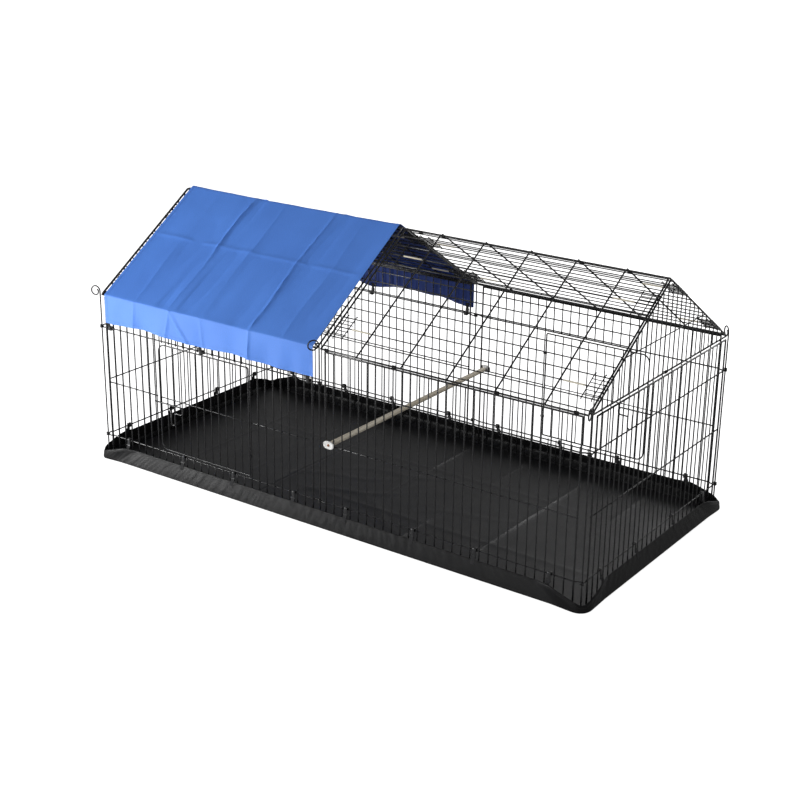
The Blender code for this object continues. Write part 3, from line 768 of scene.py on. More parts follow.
def roof_sleeves():
    shape = Shape()
    for side in (-1, 1):
        for row in LADDER_ROWS:
            z = ROW_FIRST + row * ROW_PITCH
            near = side * (ROOF_HALF - SLEEVE_FROM)
            far = side * (ROOF_HALF - SLEEVE_FROM - SLEEVE_LENGTH)
            tube(shape, [(near + (far - near) * k / 4, 0.0, z) for k in range(5)], 0.0030, 10)
    return shape


def roof_matrix(side, end):
    sign = -1.0 if side == "front" else 1.0
    way = 1.0 if end == "right" else -1.0
    lean = Matrix.Rotation(ROOF_SLOPE - math.pi / 2, 4, "X")
    return side_matrix(side, way * ROOF_MIDDLE, sign * HALF_WIDTH, ROOF_EAVE_Z) @ lean


def make_roof():
    for k, (side, end) in enumerate((s, e) for s in ("front", "back") for e in ("left", "right")):
        node = f"roof_{side}_{end}"
        matrix = roof_matrix(side, end)
        shape = roof_panel(side == "front", 300 + k).transformed(matrix)
        make_piece(node + "_wires", shape, [COAT], node)
        sleeves = roof_sleeves().transformed(matrix)
        make_piece(node + "_sleeves", sleeves, [SLEEVE_PLASTIC], node, stands=False)


def gable_slope_height(x):
    drop = GABLE_DROP / math.cos(ROOF_SLOPE)
    return ROOF_EAVE_Z - drop + (HALF_WIDTH - abs(x)) * math.tan(ROOF_SLOPE)


def gable_half_width(height):
    return HALF_WIDTH - (height - gable_slope_height(HALF_WIDTH)) / math.tan(ROOF_SLOPE)


def gable_panel(seed):
    rng = random.Random(seed)
    shape = Shape()
    reach = gable_half_width(ROOF_EAVE_Z)
    apex = gable_slope_height(0.0)
    start = (0.0, ROOF_EAVE_Z)
    corners = [start, (reach, ROOF_EAVE_Z), (0.0, apex), (-reach, ROOF_EAVE_Z), start]
    outline = fillet(corners, (0.003, 0.008, 0.003), 5)[:-1]
    tube(shape, [(x, 0.0, z) for x, z in outline], FRAME, 10, closed=True)
    for index in range(1, END_WIRES - 1):
        x = wire_position(2 * HALF_WIDTH, END_WIRES, index)
        top = gable_slope_height(x)
        if top - ROOF_EAVE_Z > 0.012:
            tube(shape, upright_points(x, 0.0032, ROOF_EAVE_Z, top - 0.001, rng), THIN)
    mid = gable_half_width(GABLE_MID_Z)
    tube(shape, level_points(-mid, mid, -0.0034, GABLE_MID_Z, rng), THIN)
    coil(shape, 0.012, 0.0, ROOF_EAVE_Z, FRAME + 0.0010, 0.0012, 0.018, 5)
    return shape


def make_gables():
    for side, sign in (("left", -1.0), ("right", 1.0)):
        shape = gable_panel(400 + int(sign)).transformed(side_matrix(side, sign * GABLE_X, 0.0))
        make_piece(f"gable_{side}_wires", shape, [COAT], f"gable_{side}")


# Stakes

def stake_wire(low):
    line = [(0.0, low + (STAKE_TOP - low) * k / 6) for k in range(6)]
    for turned in range(0, CURL_TURN + 1, 16):
        part = turned / CURL_TURN
        radius = CURL_RADIUS + (CURL_TIP - CURL_RADIUS) * max(0.0, part - 0.5) * 2
        angle = math.radians(180 - turned)
        line.append((CURL_RADIUS + radius * math.cos(angle), STAKE_TOP + radius * math.sin(angle)))
    shape = Shape()
    tube(shape, [(x, 0.0, z) for x, z in line], STAKE, 12)
    return shape


def make_stakes():
    for side, y in (("front", -HALF_WIDTH), ("back", HALF_WIDTH)):
        for end, x in (("left", -HALF_LENGTH), ("mid", 0.0), ("right", HALF_LENGTH)):
            node = f"stake_{side}_{end}"
            turn = Matrix.Rotation(math.radians(CURL_ANGLE[f"{side}_{end}"]), 4, "Z")
            shape = stake_wire(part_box(node)[0].z + STAKE)
            shape.transformed(Matrix.Translation((x, y, 0.0)) @ turn)
            make_piece(node + "_rod", shape, [COAT], node)


# Roof cover

def cover_section():
    """Rows across the cover, as place, outward normal and distance from the front hem, and the eave's z."""
    wall = HALF_WIDTH + COVER_CLEAR
    climb = COVER_CLEAR / math.cos(ROOF_SLOPE)
    eave = ROOF_EAVE_Z + climb - COVER_CLEAR * math.tan(ROOF_SLOPE)
    ridge = ROOF_EAVE_Z + climb + HALF_WIDTH * math.tan(ROOF_SLOPE)
    hem = COVER_LOW.z + 0.001
    path = [(-wall, hem), (-wall, eave), (0.0, ridge), (wall, eave), (wall, hem)]
    bends = fillet(path, (0.010, 0.016, 0.010), 6)
    points = [bends[0]]
    for before, after in zip(bends, bends[1:]):
        parts = max(1, round((after - before).length / COVER_STEP))
        points += [before.lerp(after, k / parts) for k in range(1, parts + 1)]
    rows = []
    along = 0.0
    for i, point in enumerate(points):
        ahead = points[min(i + 1, len(points) - 1)]
        behind = points[max(i - 1, 0)]
        way = (ahead - behind).normalized()
        if i:
            along += (point - points[i - 1]).length
        rows.append((point, Vector((-way.y, way.x)), along))
    return rows, eave


# Folds left by packing, as (x, height, softness, strength low and high on the slope)
COVER_FOLDS = ((-0.721, 0.0070, 0.0065, 0.35, 1.00), (-0.320, 0.0070, 0.0065, 1.00, 0.75),
               (-0.560, 0.0040, 0.0080, 0.20, 0.60), (-0.164, 0.0040, 0.0090, 0.50, 0.30),
               (-0.905, 0.0024, 0.0090, 0.70, 0.20))
# Hollows as (x, depth, width, place up the slope)
COVER_VALLEYS = ((-0.640, 0.0052, 0.030, 0.25), (-0.690, 0.0050, 0.022, 0.85),
                 (-0.520, 0.0040, 0.035, 0.45), (-0.262, 0.0046, 0.024, 0.75),
                 (-0.830, 0.0030, 0.045, 0.55), (-0.100, 0.0030, 0.030, 0.35),
                 (-0.770, 0.0046, 0.018, 0.05), (-0.665, 0.0050, 0.018, 0.08),
                 (-0.400, 0.0034, 0.030, 0.12))
# Creases down the hanging edge, as (x at the eave, shift at the hem, height)
VALANCE_CREASES = ((-0.721, 0.095, 0.0070), (-0.721, -0.018, 0.0040), (-0.320, 0.004, 0.0060),
                   (-0.905, -0.006, 0.0030), (-0.560, 0.010, 0.0026))


def cover_lift(x, along, slope_part, front):
    """Height of the cloth over its resting plane; slope_part is 0 at the eave and 1 at the ridge."""
    edge = max(0.0, min(1.0, (x - COVER_LEFT) / 0.05, (COVER_RIGHT - x) / 0.05))
    lift = 0.0
    bay = (x + ROOF_MIDDLE) / RAFTER_PITCH
    lift -= 0.0022 * math.sin(math.pi * bay) ** 2 * math.sin(math.pi * min(1.0, max(0.0, slope_part)))
    swap = 0.0 if front else 0.043
    for fold, height, soft, low, high in COVER_FOLDS:
        wander = 0.005 * math.sin(9.0 * slope_part + fold * 20)
        strength = low + (high - low) * smooth(slope_part, 0.35, 0.60)
        strength *= 1 - 0.7 * smooth(slope_part, 0.90, 1.0)
        lift += height * strength * math.exp(-abs(x - fold - swap - wander) / soft)
    for valley, depth, wide, centre in COVER_VALLEYS:
        reach = math.exp(-((slope_part - centre) / 0.28) ** 2)
        offset = (x - valley - swap - 0.05 * (slope_part - centre)) / wide
        lift -= depth * reach * math.exp(-offset * offset)
    lift += 0.0028 * math.exp(-abs(slope_part - 0.56) / 0.012)
    lift += 0.0016 * waver(x * 5.0, along * 5.0, 3.0 if front else 8.0)
    lift += 0.0006 * waver(x * 22.0, along * 9.0, 1.0)
    return max(lift * edge, COVER_LEAST)


def middle_x(node):
    low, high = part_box(node)
    return (low.x + high.x) / 2


HOOK_PLACES = {side: [middle_x(f"cover_hook_{side}_{k}") for k in (1, 2, 3)]
               for side in ("front", "back")}


def hem_freedom(x, front):
    """0 where a hook holds the hem down, 1 well away from the hooks."""
    nearest = min(abs(x - place) for place in HOOK_PLACES["front" if front else "back"])
    return smooth(nearest, 0.0, 0.16)


def valance_wave(x, drop, front):
    """How far the hanging edge swings out, more towards its hem, held in at the hooks."""
    free = hem_freedom(x, front)
    swing = 0.0065 * (0.55 + 0.45 * math.sin(17.0 * x + 0.6)) + 0.0030 * math.sin(41.0 * x + 1.9)
    swing += 0.0020 * waver(x * 14.0, 2.0, 5.0 if front else 9.0)
    pull = 0.0014 * math.sin(60.0 * x) * (1 - free)
    crease = 0.0
    if front:
        for place, shift, height in VALANCE_CREASES:
            crease += height * math.exp(-abs(x - place - shift * drop) / 0.0065)
    else:
        gathers = max(0.0, math.sin(118.0 * x + 2.0 * math.sin(13.0 * x)))
        crease = 0.0022 * gathers * smooth(drop, 0.0, 0.3)
    return drop * (swing * free + pull) + crease * min(1.0, 0.35 + drop)


def cover_columns():
    low, high = COVER_LEFT, COVER_RIGHT
    count = round((high - low) / COVER_FINE_STEP)
    columns = [low + (high - low) * k / count for k in range(count + 1)]
    columns += [low + HEM_WIDTH, low + HEM_WIDTH + 0.001, high - HEM_WIDTH, high - HEM_WIDTH - 0.001]
    return sorted(columns)


def cover_point(x, row, slope_part, drop, front):
    """Middle of the cloth at a place across one row of the section."""
    point, normal, along = row
    lift = cover_lift(x, along, slope_part, front) * max(0.15, smooth(slope_part, -0.02, 0.05))
    lift += valance_wave(x, drop, front) if drop > 0 else 0.0
    place = Vector((x, point.x + normal.x * lift, point.y + normal.y * lift))
    rise = 0.0 if front else 0.016
    wavy = 0.0040 + 0.0040 * math.sin(13.0 * x + (0.4 if front else 2.0))
    place.z += drop * (rise + wavy) * hem_freedom(x, front)
    sag = 0.0035 * math.sin(math.pi * (x - COVER_LEFT) / (COVER_RIGHT - COVER_LEFT))
    place.z -= sag * smooth(slope_part, 0.75, 1.0)
    return place


def cover_grid(rows, eave, columns):
    """Outer and inner face and texture position at every crossing of rows and columns."""
    total = rows[-1][2]
    drop_length = eave - rows[0][0].y
    slope_length = (total - 2 * drop_length) / 2
    placed = []
    for row in rows:
        _, normal, along = row
        front = along < total / 2
        from_hem = min(along, total - along)
        slope_part = (from_hem - drop_length) / slope_length
        drop = min(1.0, max(0.0, 1 - from_hem / drop_length))
        line = []
        for x in columns:
            place = cover_point(x, row, slope_part, drop, front)
            from_edge = min(x - COVER_LEFT, COVER_RIGHT - x)
            hemmed = from_edge <= HEM_WIDTH + 0.0002 or from_hem <= HEM_WIDTH
            half = COVER_HALF_THICK + (HEM_EXTRA if hemmed else 0.0)
            shift = Vector((0.0, normal.x, normal.y)) * half
            line.append((place + shift, place - shift, (x, along)))
        placed.append(line)
    return placed


def make_cover():
    """One closed sheet with two faces, and the places its stitches follow."""
    rows, eave = cover_section()
    columns = cover_columns()
    placed = cover_grid(rows, eave, columns)
    wide, tall = len(columns), len(rows)
    size = wide * tall
    shape = Shape()
    for layer in (0, 1):
        for item in (item for line in placed for item in line):
            shape.flat[len(shape.verts)] = item[2]
            shape.verts.append(item[layer])
    for outer, inner in zip(grid_faces(wide, tall), flipped(grid_faces(wide, tall, size))):
        shape.faces += [outer, inner]
        shape.marks += [0, 1]
    border = grid_border(wide, tall)
    for a, b in zip(border, border[1:] + border[:1]):
        shape.faces.append((b, a, a + size, b + size))
        shape.marks.append(0)
    make_piece("shade_cover_cloth", shape, [COVER_TOP, COVER_UNDERSIDE_TONE_AND_SHADE], "shade_cover", sharp=40.0)
    return placed, columns, rows


def stitch_run(shape, points, length, gap, radius, normal):
    """Row of short raised stitches along a run of points."""
    run = [Vector(point) for point in points]
    spans = [(b - a).length for a, b in zip(run, run[1:])]
    total = sum(spans)

    def at(distance):
        for a, b, span in zip(run, run[1:], spans):
            if distance <= span:
                return a.lerp(b, distance / span if span else 0.0), (b - a).normalized()
            distance -= span
        return run[-1], (run[-1] - run[-2]).normalized()

    count = int(total / (length + gap))
    for k in range(count):
        centre, way = at((k + 0.5) * (length + gap))
        up = Vector(normal(centre)).normalized()
        side = way.cross(up).normalized()
        ends = []
        for step, size, rise in ((-0.5, 0.35, 0.0), (-0.2, 1.0, 0.6), (0.2, 1.0, 0.6), (0.5, 0.35, 0.0)):
            spot = centre + way * step * length + up * rise * radius
            ends.append([spot + turned * radius * size for turned in (side, up, -side, -up)])
        shape.add([vert for ring in ends for vert in ring], ring_faces(4, 4))


def make_cover_stitches(placed, columns, rows):
    shape = Shape()
    seam = HEM_WIDTH - 0.003
    near = min(range(len(columns)), key=lambda i: abs(columns[i] - COVER_LEFT - seam))
    far = min(range(len(columns)), key=lambda i: abs(columns[i] - COVER_RIGHT + seam))
    low = min(range(len(rows)), key=lambda j: abs(rows[j][2] - seam))
    high = len(rows) - 1 - low
    normal_at = [Vector((0.0, normal.x, normal.y)) for _, normal, _ in rows]

    def row_normal(centre):
        spot = Vector((centre.y, centre.z))
        best = min(range(0, len(rows), 4), key=lambda j: (rows[j][0] - spot).length)
        return normal_at[best]

    seams = [[placed[j][i][0] for j in range(2, len(rows) - 2)] for i in (near, far)]
    seams += [[item[0] for item in placed[j]] for j in (low, high)]
    for run in seams:
        stitch_run(shape, run, 0.0042, 0.0022, 0.00045, row_normal)
    make_piece("shade_cover_stitches", shape, [COVER_THREAD], "shade_cover", stands=False)


# Fabric tray

# Folds across the floor as (x, height), with a valley below zero
FLOOR_CROSS_FOLDS = ((-0.540, 0.0040), (0.027, 0.0052), (0.300, 0.0056), (0.585, 0.0050),
                     (0.840, 0.0022), (-0.380, -0.0060), (-0.820, 0.0028))
# Folds along it as (y, height, from x, to x)
FLOOR_LONG_FOLDS = ((-0.270, 0.0036, -0.30, 1.00), (0.175, 0.0034, -1.00, 0.65))
# Soft ripples as (x, y, direction in degrees, height, width)
FLOOR_RIPPLES = ((-0.22, -0.10, 28.0, 0.0016, 0.030), (-0.10, -0.20, 33.0, 0.0018, 0.026),
                 (-0.05, 0.05, 22.0, 0.0014, 0.030), (0.12, -0.30, 150.0, 0.0014, 0.022),
                 (-0.45, -0.25, 160.0, 0.0012, 0.030), (0.42, -0.10, 24.0, 0.0012, 0.03))


# Rim tape's section as (outwards, up) from the rim
BINDING_SECTION = ((0.0016, -0.011), (0.0020, -0.004), (0.0016, 0.0008), (0.0004, 0.0016),
                   (-0.0014, 0.0010), (-0.0026, -0.004), (-0.0022, -0.011), (-0.0014, -0.0112),
                   (0.0008, -0.0112))


def rim_height(run, half):
    """Rim height at a distance along one side; it drops near the corners."""
    from_corner = half + TRAY_LIP - abs(run)
    part = min(1.0, max(0.0, from_corner / TRAY_CORNER))
    return TRAY_CORNER_RIM + (TRAY_RIM - TRAY_CORNER_RIM) * part ** 0.9


def tray_profile(distance, fold_z, lip):
    """Out and z of the inner face at a distance past the wall line, over the sheet."""
    ramp_run = TRAY_OUT - TRAY_FOOT
    ramp = math.hypot(ramp_run, fold_z - TRAY_TOP_Z)
    wall = math.hypot(TRAY_OUT - lip, TRAY_RIM - fold_z)
    if distance <= TRAY_FOOT:
        return distance, TRAY_TOP_Z
    share = (distance - TRAY_FOOT) / (ramp + wall)
    turn = ramp / (ramp + wall)
    if share <= turn:
        t = share / turn
        return TRAY_FOOT + ramp_run * t, TRAY_TOP_Z + (fold_z - TRAY_TOP_Z) * t ** 1.3
    t = min(1.0, (share - turn) / (1 - turn))
    bulge = 0.0007 * math.sin(math.pi * t)
    return TRAY_OUT + (lip - TRAY_OUT) * t + bulge, fold_z + (TRAY_RIM - fold_z) * t


def floor_lift(x, y):
    """Folds and ripples of the floor sheet; it lies flat under the wires."""
    inside = min(HALF_LENGTH - abs(x), HALF_WIDTH - abs(y))
    calm = smooth(inside, 0.012, 0.060)
    if calm == 0.0:
        return 0.0
    lift = 0.0
    for fold, height in FLOOR_CROSS_FOLDS:
        strength = 0.55 + 0.45 * math.sin(5.0 * y + fold * 14.0)
        away = abs(x - fold - 0.004 * math.sin(6 * y))
        if height > 0:
            lift += height * strength * math.exp(-away / 0.009)
        else:
            lift += height * (math.exp(-away / 0.005) - math.exp(-away / 0.020))
    for fold, height, start, end in FLOOR_LONG_FOLDS:
        strength = smooth(x, start - 0.1, start + 0.1) * (1 - smooth(x, end - 0.1, end + 0.1))
        lift += height * strength * math.exp(-abs(y - fold - 0.003 * math.sin(5 * x)) / 0.009)
    for cx, cy, angle, height, wide in FLOOR_RIPPLES:
        cosine, sine = math.cos(math.radians(angle)), math.sin(math.radians(angle))
        u = (x - cx) * cosine + (y - cy) * sine
        v = (y - cy) * cosine - (x - cx) * sine + 0.02 * math.sin(u * 14)
        fading = math.exp(-(u / 0.20) ** 2) * math.exp(-(v / wide) ** 2)
        lift += height * fading * (1 + math.cos(v * 90)) / 2 * 1.6
    lift += 0.0016 * max(0.0, waver(x * 4.0, y * 5.0, 0.5) + 0.25)
    lift += 0.0006 * max(0.0, waver(x * 19.0, y * 15.0, 4.0) + 0.2)
    return lift * calm


def tray_point(sheet_x, sheet_y):
    """Where a point of the flat sheet ends up on the formed tray."""
    over_x = abs(sheet_x) - HALF_LENGTH
    over_y = abs(sheet_y) - HALF_WIDTH
    distance = max(over_x, over_y)
    on_long_side = over_y >= over_x
    back = on_long_side and sheet_y > 0
    near_corner = smooth(-over_x if on_long_side else -over_y, 0.0, 0.20)
    fold_z = TRAY_FOLD_Z + (0.018 * near_corner if back else 0.0)
    reach = (sheet_x, HALF_LENGTH) if on_long_side else (sheet_y, HALF_WIDTH)
    at_corner = 1 - smooth(reach[1] + TRAY_LIP - abs(reach[0]), 0.02, TRAY_CORNER)
    lip = TRAY_LIP + (TRAY_CORNER_LIP - TRAY_LIP) * at_corner
    out, z = tray_profile(distance, fold_z, lip)
    if distance <= 0.0:
        return Vector((sheet_x, sheet_y, TRAY_TOP_Z + floor_lift(sheet_x, sheet_y)))
    x = sheet_x * (HALF_LENGTH + out) / (HALF_LENGTH + distance)
    y = sheet_y * (HALF_WIDTH + out) / (HALF_WIDTH + distance)
    if on_long_side:
        y = math.copysign(HALF_WIDTH + out, sheet_y)
        run, half = x, HALF_LENGTH
    else:
        x = math.copysign(HALF_LENGTH + out, sheet_x)
        run, half = y, HALF_WIDTH
    tall = rim_height(run, half) / TRAY_RIM
    z = TRAY_TOP_Z + (z - TRAY_TOP_Z) * tall
    along = sheet_x if on_long_side else sheet_y + 7.0
    upness = min(1.0, max(0.0, (z - TRAY_TOP_Z) / 0.03))
    ripple = 0.0012 * waver(along * 9.0, z * 20.0, 2.0) * upness
    if back:
        pucker = math.sin(along * 520.0 + 3.0 * waver(along * 8.0, 1.0, 1.0))
        band = smooth(distance, 0.008, 0.016) * (1 - smooth(distance, 0.038, 0.050))
        ripple += 0.0011 * pucker * band * (0.6 + 0.4 * waver(along * 5.0, 6.0, 1.0))
    else:
        ripple += 0.0005 * math.sin(along * 130.0 + 4 * waver(along * 6.0, 3.0, 1.0)) * upness
    if on_long_side:
        y += math.copysign(ripple, sheet_y)
    else:
        x += math.copysign(ripple, sheet_x)
    start_x = HALF_LENGTH + TRAY_OUT - TRAY_CORNER_ROUND
    start_y = HALF_WIDTH + TRAY_OUT - TRAY_CORNER_ROUND
    cut_x = abs(x) - start_x
    cut_y = abs(y) - start_y
    if cut_x > 0 and cut_y > 0:
        squeeze = max(cut_x, cut_y) / math.hypot(cut_x, cut_y)
        x = math.copysign(start_x + cut_x * squeeze, x)
        y = math.copysign(start_y + cut_y * squeeze, y)
    return Vector((x, y, z))


def sheet_lines(half, step, folds):
    """Grid positions across the sheet: even inside, finer over the wall, one on every fold."""
    inside = round(2 * half / step)
    lines = [-half + 2 * half * k / inside for k in range(inside + 1)]
    lines = [line for line in lines if all(abs(line - fold) > step * 0.4 for fold in folds)]
    lines += list(folds)
    for k in range(1, SHEET_WALL_ROWS + 1):
        past = SHEET_REACH * k / SHEET_WALL_ROWS
        lines += [half + past, -half - past]
    return sorted(lines)


def make_tray():
    columns = sheet_lines(HALF_LENGTH, 0.0040, [fold for fold, _ in FLOOR_CROSS_FOLDS])
    rows = sheet_lines(HALF_WIDTH, 0.0090, [fold[0] for fold in FLOOR_LONG_FOLDS])
    shape = Shape()
    wide = len(columns)
    for y in rows:
        for x in columns:
            shape.flat[len(shape.verts)] = (x, y)
            shape.verts.append(tray_point(x, y))
    shape.faces = grid_faces(wide, len(rows))
    for y in rows[:-1]:
        past = [max(abs(x) - HALF_LENGTH, abs(y) - HALF_WIDTH) for x in columns[:-1]]
        shape.marks += [1 if distance > 0.010 else 0 for distance in past]
    tray = make_piece("floor_tray_cloth", shape, [TRAY_CLOTH, TRAY_WALL], "floor_tray", sharp=60.0)
    solid = tray.modifiers.new("thickness", "SOLIDIFY")
    solid.thickness = TRAY_THICK
    solid.offset = -1.0
    make_tray_binding([shape.verts[i] for i in grid_border(wide, len(rows))])


def make_tray_binding(rim):
    """Tape folded over the rim, with its row of stitches inside and out."""
    kept = [rim[0]]
    for point in rim[1:]:
        if (point - kept[-1]).length > 0.0045:
            kept.append(point)
    count = len(kept)
    outs = []
    for i in range(count):
        way = (kept[(i + 1) % count] - kept[i - 1]).normalized()
        outs.append(Vector((way.y, -way.x, 0.0)).normalized())
    verts = []
    shape = Shape()
    for i, (point, out) in enumerate(zip(kept, outs)):
        for k, (across, up) in enumerate(BINDING_SECTION):
            shape.flat[len(verts)] = (i * 0.005, k * 0.003)
            verts.append(point + out * (across - up * 0.2) + Vector((0.0, 0.0, up)))
    shape.add(verts, flipped(ring_faces(count, len(BINDING_SECTION), closed=True)))
    make_piece("floor_tray_binding", shape, [TRAY_WALL], "floor_tray", stands=False)
    threads = Shape()

    def away(centre):
        return Vector((centre.x / HALF_LENGTH ** 3, centre.y / HALF_WIDTH ** 3, 0.0))

    for shift, side in ((0.0021 + 0.0016, 1.0), (-0.0027 + 0.0016, -1.0)):
        run = [point + out * shift + Vector((0.0, 0.0, -0.0085)) for point, out in zip(kept, outs)]
        stitch_run(threads, run, 0.0045, 0.0030, 0.0004, lambda centre: away(centre) * side)
    make_piece("floor_tray_stitches", threads, [TRAY_THREAD], "floor_tray", stands=False)


# Hooks

def ribbon(shape, line, half_width, half_thick, mark, bevel=0.0):
    """Flat band bent along (out, z) points, with its edges rounded."""
    edge = max(bevel, 0.0003)
    inner = half_width - edge
    across = ((-half_width, -0.4), (-inner, -1.0), (inner, -1.0), (half_width, -0.4),
              (half_width, 0.4), (inner, 1.0), (-inner, 1.0), (-half_width, 0.4))
    verts = []
    for i, point in enumerate(line):
        before = Vector(line[max(i - 1, 0)])
        after = Vector(line[min(i + 1, len(line) - 1)])
        way = (after - before).normalized()
        normal = Vector((way.y, -way.x))
        for x, side in across:
            spot = Vector(point) + normal * half_thick * side
            verts.append(Vector((x, -spot.x, spot.y)))
    shape.add(verts, ring_faces(len(line), len(across)), mark)


def bent(points, radius, steps=4):
    return [tuple(point) for point in fillet(points, [radius] * (len(points) - 2), steps)]


def tray_wall_out(z):
    """How far out the outer face of the tray's wall stands at a height."""
    part = (z - TRAY_FOLD_Z) / (TRAY_RIM - TRAY_FOLD_Z)
    return TRAY_OUT + (TRAY_LIP - TRAY_OUT) * part + 0.0022


def hook_shape(strap, strap_half, hook, hook_half, slot):
    """Strap of webbing, a moulded hook and the slotted bar the strap passes through."""
    shape = Shape()
    strap_line, strap_bend = strap
    hook_line, hook_bend = hook
    ribbon(shape, bent(strap_line, strap_bend), strap_half, 0.0006, 0)
    ribbon(shape, bent(hook_line, hook_bend, 6), hook_half, 0.0014, 1, 0.0008)
    half, out, low, high, radius = slot
    corners = [(x, -out, z) for x, z in ((-half, low), (half, low), (half, high), (-half, high))]
    tube(shape, corners, radius, 7, closed=True, mark=1)
    return shape


def tray_hook():
    """Strap sewn to the tray wall, with a moulded hook over the bottom rail."""
    strap = [(tray_wall_out(0.058), 0.058), (tray_wall_out(0.072), 0.072), (0.0098, 0.086), (0.0088, 0.092)]
    hook = [(0.0075, 0.080), (0.0068, 0.098), (0.0066, 0.1128), (-0.0050, 0.1128), (-0.0052, 0.0975)]
    slot = (0.0090, 0.0092, 0.079, 0.0865, 0.0017)
    return hook_shape((strap, 0.006), 0.0080, (hook, 0.0042), 0.0070, slot)


def cover_hook():
    """Strap sewn to the cover's hem, with a moulded hook under the upper rail."""
    strap = [(0.0086, 0.606), (0.0086, 0.594), (0.0092, 0.585), (0.0096, 0.577)]
    hook = [(0.0080, 0.584), (0.0074, 0.570), (0.0072, 0.5572), (-0.0052, 0.5572), (-0.0054, 0.572)]
    slot = (0.0078, 0.0097, 0.573, 0.5815, 0.0015)
    return hook_shape((strap, 0.005), 0.0065, (hook, 0.0042), 0.0072, slot)


def make_hooks():
    kinds = {"tray_hook": tray_hook, "cover_hook": cover_hook}
    for node in sorted(frame["nodes"]):
        kind = node.rsplit("_", 2)[0]
        if kind not in kinds:
            continue
        side = node.rsplit("_", 2)[1]
        low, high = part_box(node)
        middle = (low + high) / 2
        if side in ("front", "back"):
            spot = (middle.x, math.copysign(HALF_WIDTH, middle.y))
        else:
            spot = (math.copysign(HALF_LENGTH, middle.x), middle.y)
        shape = kinds[kind]().transformed(side_matrix(side, *spot))
        make_piece(node + "_strap", shape, [WEBBING, HOOK_PLASTIC], node)


# Perch

def lathe(shape, profile, sides):
    """Turns (radius, along) pairs round the local Y axis; zero radii close the ends."""
    verts = []
    rings = []
    for radius, along in profile:
        if radius == 0.0:
            rings.append([len(verts)])
            verts.append((0.0, along, 0.0))
            continue
        rings.append(list(range(len(verts), len(verts) + sides)))
        for i in range(sides):
            angle = 2 * math.pi * i / sides
            verts.append((radius * math.cos(angle), along, radius * math.sin(angle)))
    faces = []
    for near, far in zip(rings, rings[1:]):
        for i in range(sides):
            j = (i + 1) % sides
            if len(near) == 1:
                faces.append((near[0], far[j], far[i]))
            elif len(far) == 1:
                faces.append((near[i], near[j], far[0]))
            else:
                faces.append((near[i], near[j], far[j], far[i]))
    shape.add(verts, faces)


def perch_rod():
    low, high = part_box("perch_rod")
    radius = (high.z - low.z) / 2
    end = high.y
    shape = Shape()
    profile = [(0.0, -end), (radius - 0.0012, -end), (radius, -end + 0.0012)]
    for k in range(1, 24):
        y = -end + 2 * end * k / 24
        profile.append((radius * (1 - 0.012 * math.sin(k * 2.1) ** 2), y))
    profile += [(radius, end - 0.0012), (radius - 0.0012, end), (0.0, end)]
    lathe(shape, profile, 28)
    return shape.transformed(Matrix.Translation(((low.x + high.x) / 2, 0.0, (low.z + high.z) / 2)))


def perch_cap():
    """Oval plate with a rounded rim and a dished middle, its outer face towards -Y."""
    half_x, half_z = 0.023, 0.015
    back, face = 0.0073, 0.0133
    loops = ((0.02, back), (0.90, back), (1.0, back + 0.0015), (1.0, face - 0.0018),
             (0.96, face - 0.0006), (0.88, face), (0.76, face - 0.0003), (0.66, face - 0.0012),
             (0.36, face - 0.0014), (0.02, face - 0.0014))
    sides = 36
    verts = []
    for size, out in loops:
        for i in range(sides):
            angle = 2 * math.pi * i / sides
            across, up = math.cos(angle), math.sin(angle)
            x = half_x * size * math.copysign(abs(across) ** 0.75, across)
            z = half_z * size * math.copysign(abs(up) ** 0.75, up)
            verts.append((x, -out, z))
    shape = Shape()
    shape.add(verts, flipped(ring_faces(len(loops), sides)))
    return shape


def perch_screw():
    """Pan-head screw with a shallow well in its head and two thin crossed bars over the well."""
    seat = -0.0119
    shape = Shape()
    head = ((0.0, -0.0020), (0.0018, -0.0020), (0.0030, -0.0026), (0.0042, -0.0021), (0.0050, -0.0010),
            (0.0050, 0.0), (0.0023, 0.0), (0.0023, 0.012), (0.0, 0.013))
    lathe(shape, [(radius, seat + along) for radius, along in head], 20)
    for turn in (45.0, 135.0):
        across, up = math.cos(math.radians(turn)), math.sin(math.radians(turn))
        reaches = (-0.0032, -0.001, 0.001, 0.0032)
        line = [(across * reach, seat - 0.0026, up * reach) for reach in reaches]
        tube(shape, line, 0.00035, 5)
    return shape


def make_perch():
    make_piece("perch_rod_dowel", perch_rod(), [WOOD], "perch_rod")
    low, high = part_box("perch_rod")
    x, z = (low.x + high.x) / 2, (low.z + high.z) / 2
    for side, sign in (("front", -1.0), ("back", 1.0)):
        matrix = side_matrix(side, x, sign * HALF_WIDTH, z)
        cap = perch_cap().transformed(matrix)
        screw = perch_screw().transformed(matrix)
        make_piece(f"perch_cap_{side}_plate", cap, [CAP_PLASTIC], f"perch_cap_{side}")
        make_piece(f"perch_screw_{side}_head", screw, [SCREW], f"perch_screw_{side}")


# Stage

FLOOR_HALF = 90.0
FLOOR_Z = -0.001


def make_floor():
    mesh = bpy.data.meshes.new("studio_floor")
    corners = [(-1, -1), (1, -1), (1, 1), (-1, 1)]
    mesh.from_pydata([(FLOOR_HALF * x, FLOOR_HALF * y, FLOOR_Z) for x, y in corners], [], [(0, 1, 2, 3)])
    floor = add_object("studio_floor", mesh)
    material, tree, shader = new_material("studio_floor", (0.80, 0.80, 0.80), 0.9, specular=0.1)
    shader.inputs["Emission Color"].default_value = (1.0, 1.0, 1.0, 1.0)
    seen = tree.nodes.new("ShaderNodeLightPath")
    glow = maths(tree, "MULTIPLY", seen.outputs["Is Camera Ray"], 0.95)
    feed(tree, glow, shader, "Emission Strength")
    mesh.materials.append(material)


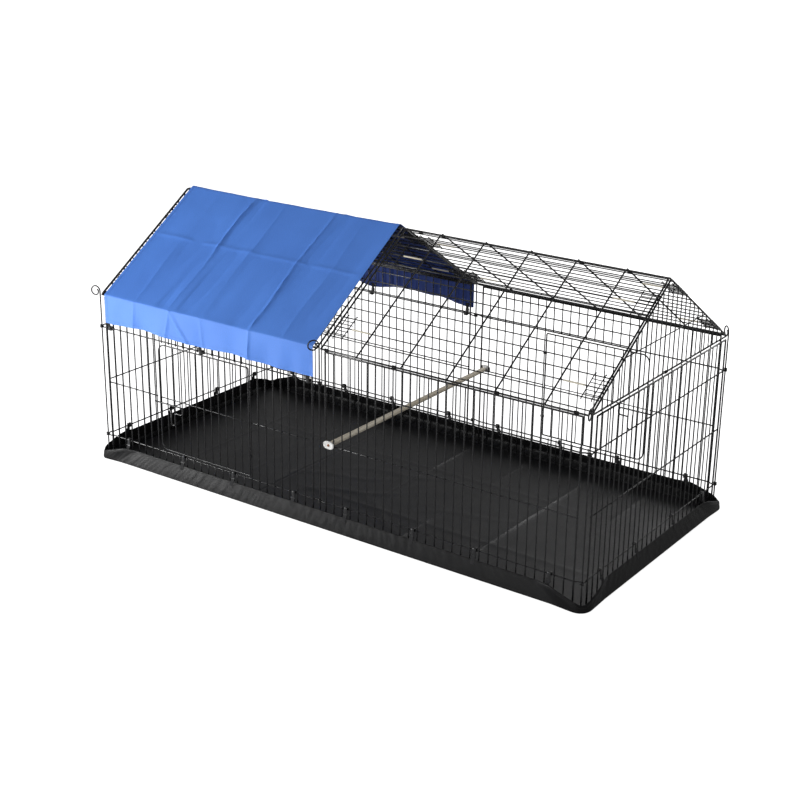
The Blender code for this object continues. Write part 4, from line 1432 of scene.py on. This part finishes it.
def area_light(name, place, target, size, power):
    data = bpy.data.lights.new(name, "AREA")
    data.shape = "DISK"
    data.size = size
    data.energy = power
    made = add_object(name, data)
    made.visible_camera = False
    made.location = place
    made.rotation_mode = "QUATERNION"
    made.rotation_quaternion = (Vector(target) - Vector(place)).to_track_quat("-Z", "Y")


def make_lights():
    world = bpy.data.worlds.new("studio")
    bpy.context.scene.world = world
    world.use_nodes = True
    tree = world.node_tree
    background = tree.nodes["Background"]
    background.inputs["Color"].default_value = (1.0, 1.0, 1.0, 1.0)
    seen = tree.nodes.new("ShaderNodeLightPath")
    shown = maths(tree, "MULTIPLY", seen.outputs["Is Camera Ray"], 0.90)
    mirrored = maths(tree, "MULTIPLY", seen.outputs["Is Glossy Ray"], 0.06)
    strength = maths(tree, "ADD", maths(tree, "ADD", shown, mirrored), 0.26)
    tree.links.new(strength, background.inputs["Strength"])
    area_light("key", (-2.3, -2.0, 0.35), (-0.9, -0.5, 0.25), 0.9, 27.0)
    area_light("fill", (1.0, -5.5, 0.6), (0.0, -0.5, 0.5), 2.5, 60.0)
    area_light("side", (-4.2, -3.6, 1.2), (-0.5, -0.3, 0.7), 1.2, 120.0)
    area_light("top", (-1.0, -2.0, 4.5), (0.0, 0.0, 0.3), 3.0, 14.0)
    area_light("back", (1.0, 5.0, 2.6), (0.2, 0.2, 0.2), 3.0, 120.0)


def make_camera():
    yaw, pitch, roll = math.radians(-35.35), math.radians(20.59), math.radians(0.72)
    level = math.cos(pitch)
    forward = Vector((math.sin(yaw) * level, math.cos(yaw) * level, -math.sin(pitch)))
    data = bpy.data.cameras.new("camera")
    data.sensor_width = 36.0
    data.lens = 68.7
    camera = add_object("camera", data)
    camera.location = (3.208, -4.537, 2.435)
    camera.rotation_mode = "QUATERNION"
    rolled = Matrix.Rotation(roll, 3, "Z").to_quaternion()
    camera.rotation_quaternion = forward.to_track_quat("-Z", "Y") @ rolled
    bpy.context.scene.camera = camera


make_walls()
make_doors()
make_roof()
make_gables()
make_stakes()
placed_cloth, cloth_columns, cloth_rows = make_cover()
make_cover_stitches(placed_cloth, cloth_columns, cloth_rows)
make_tray()
make_hooks()
make_perch()
make_floor()
make_lights()
make_camera()
bpy.context.scene.view_settings.view_transform = "Standard"
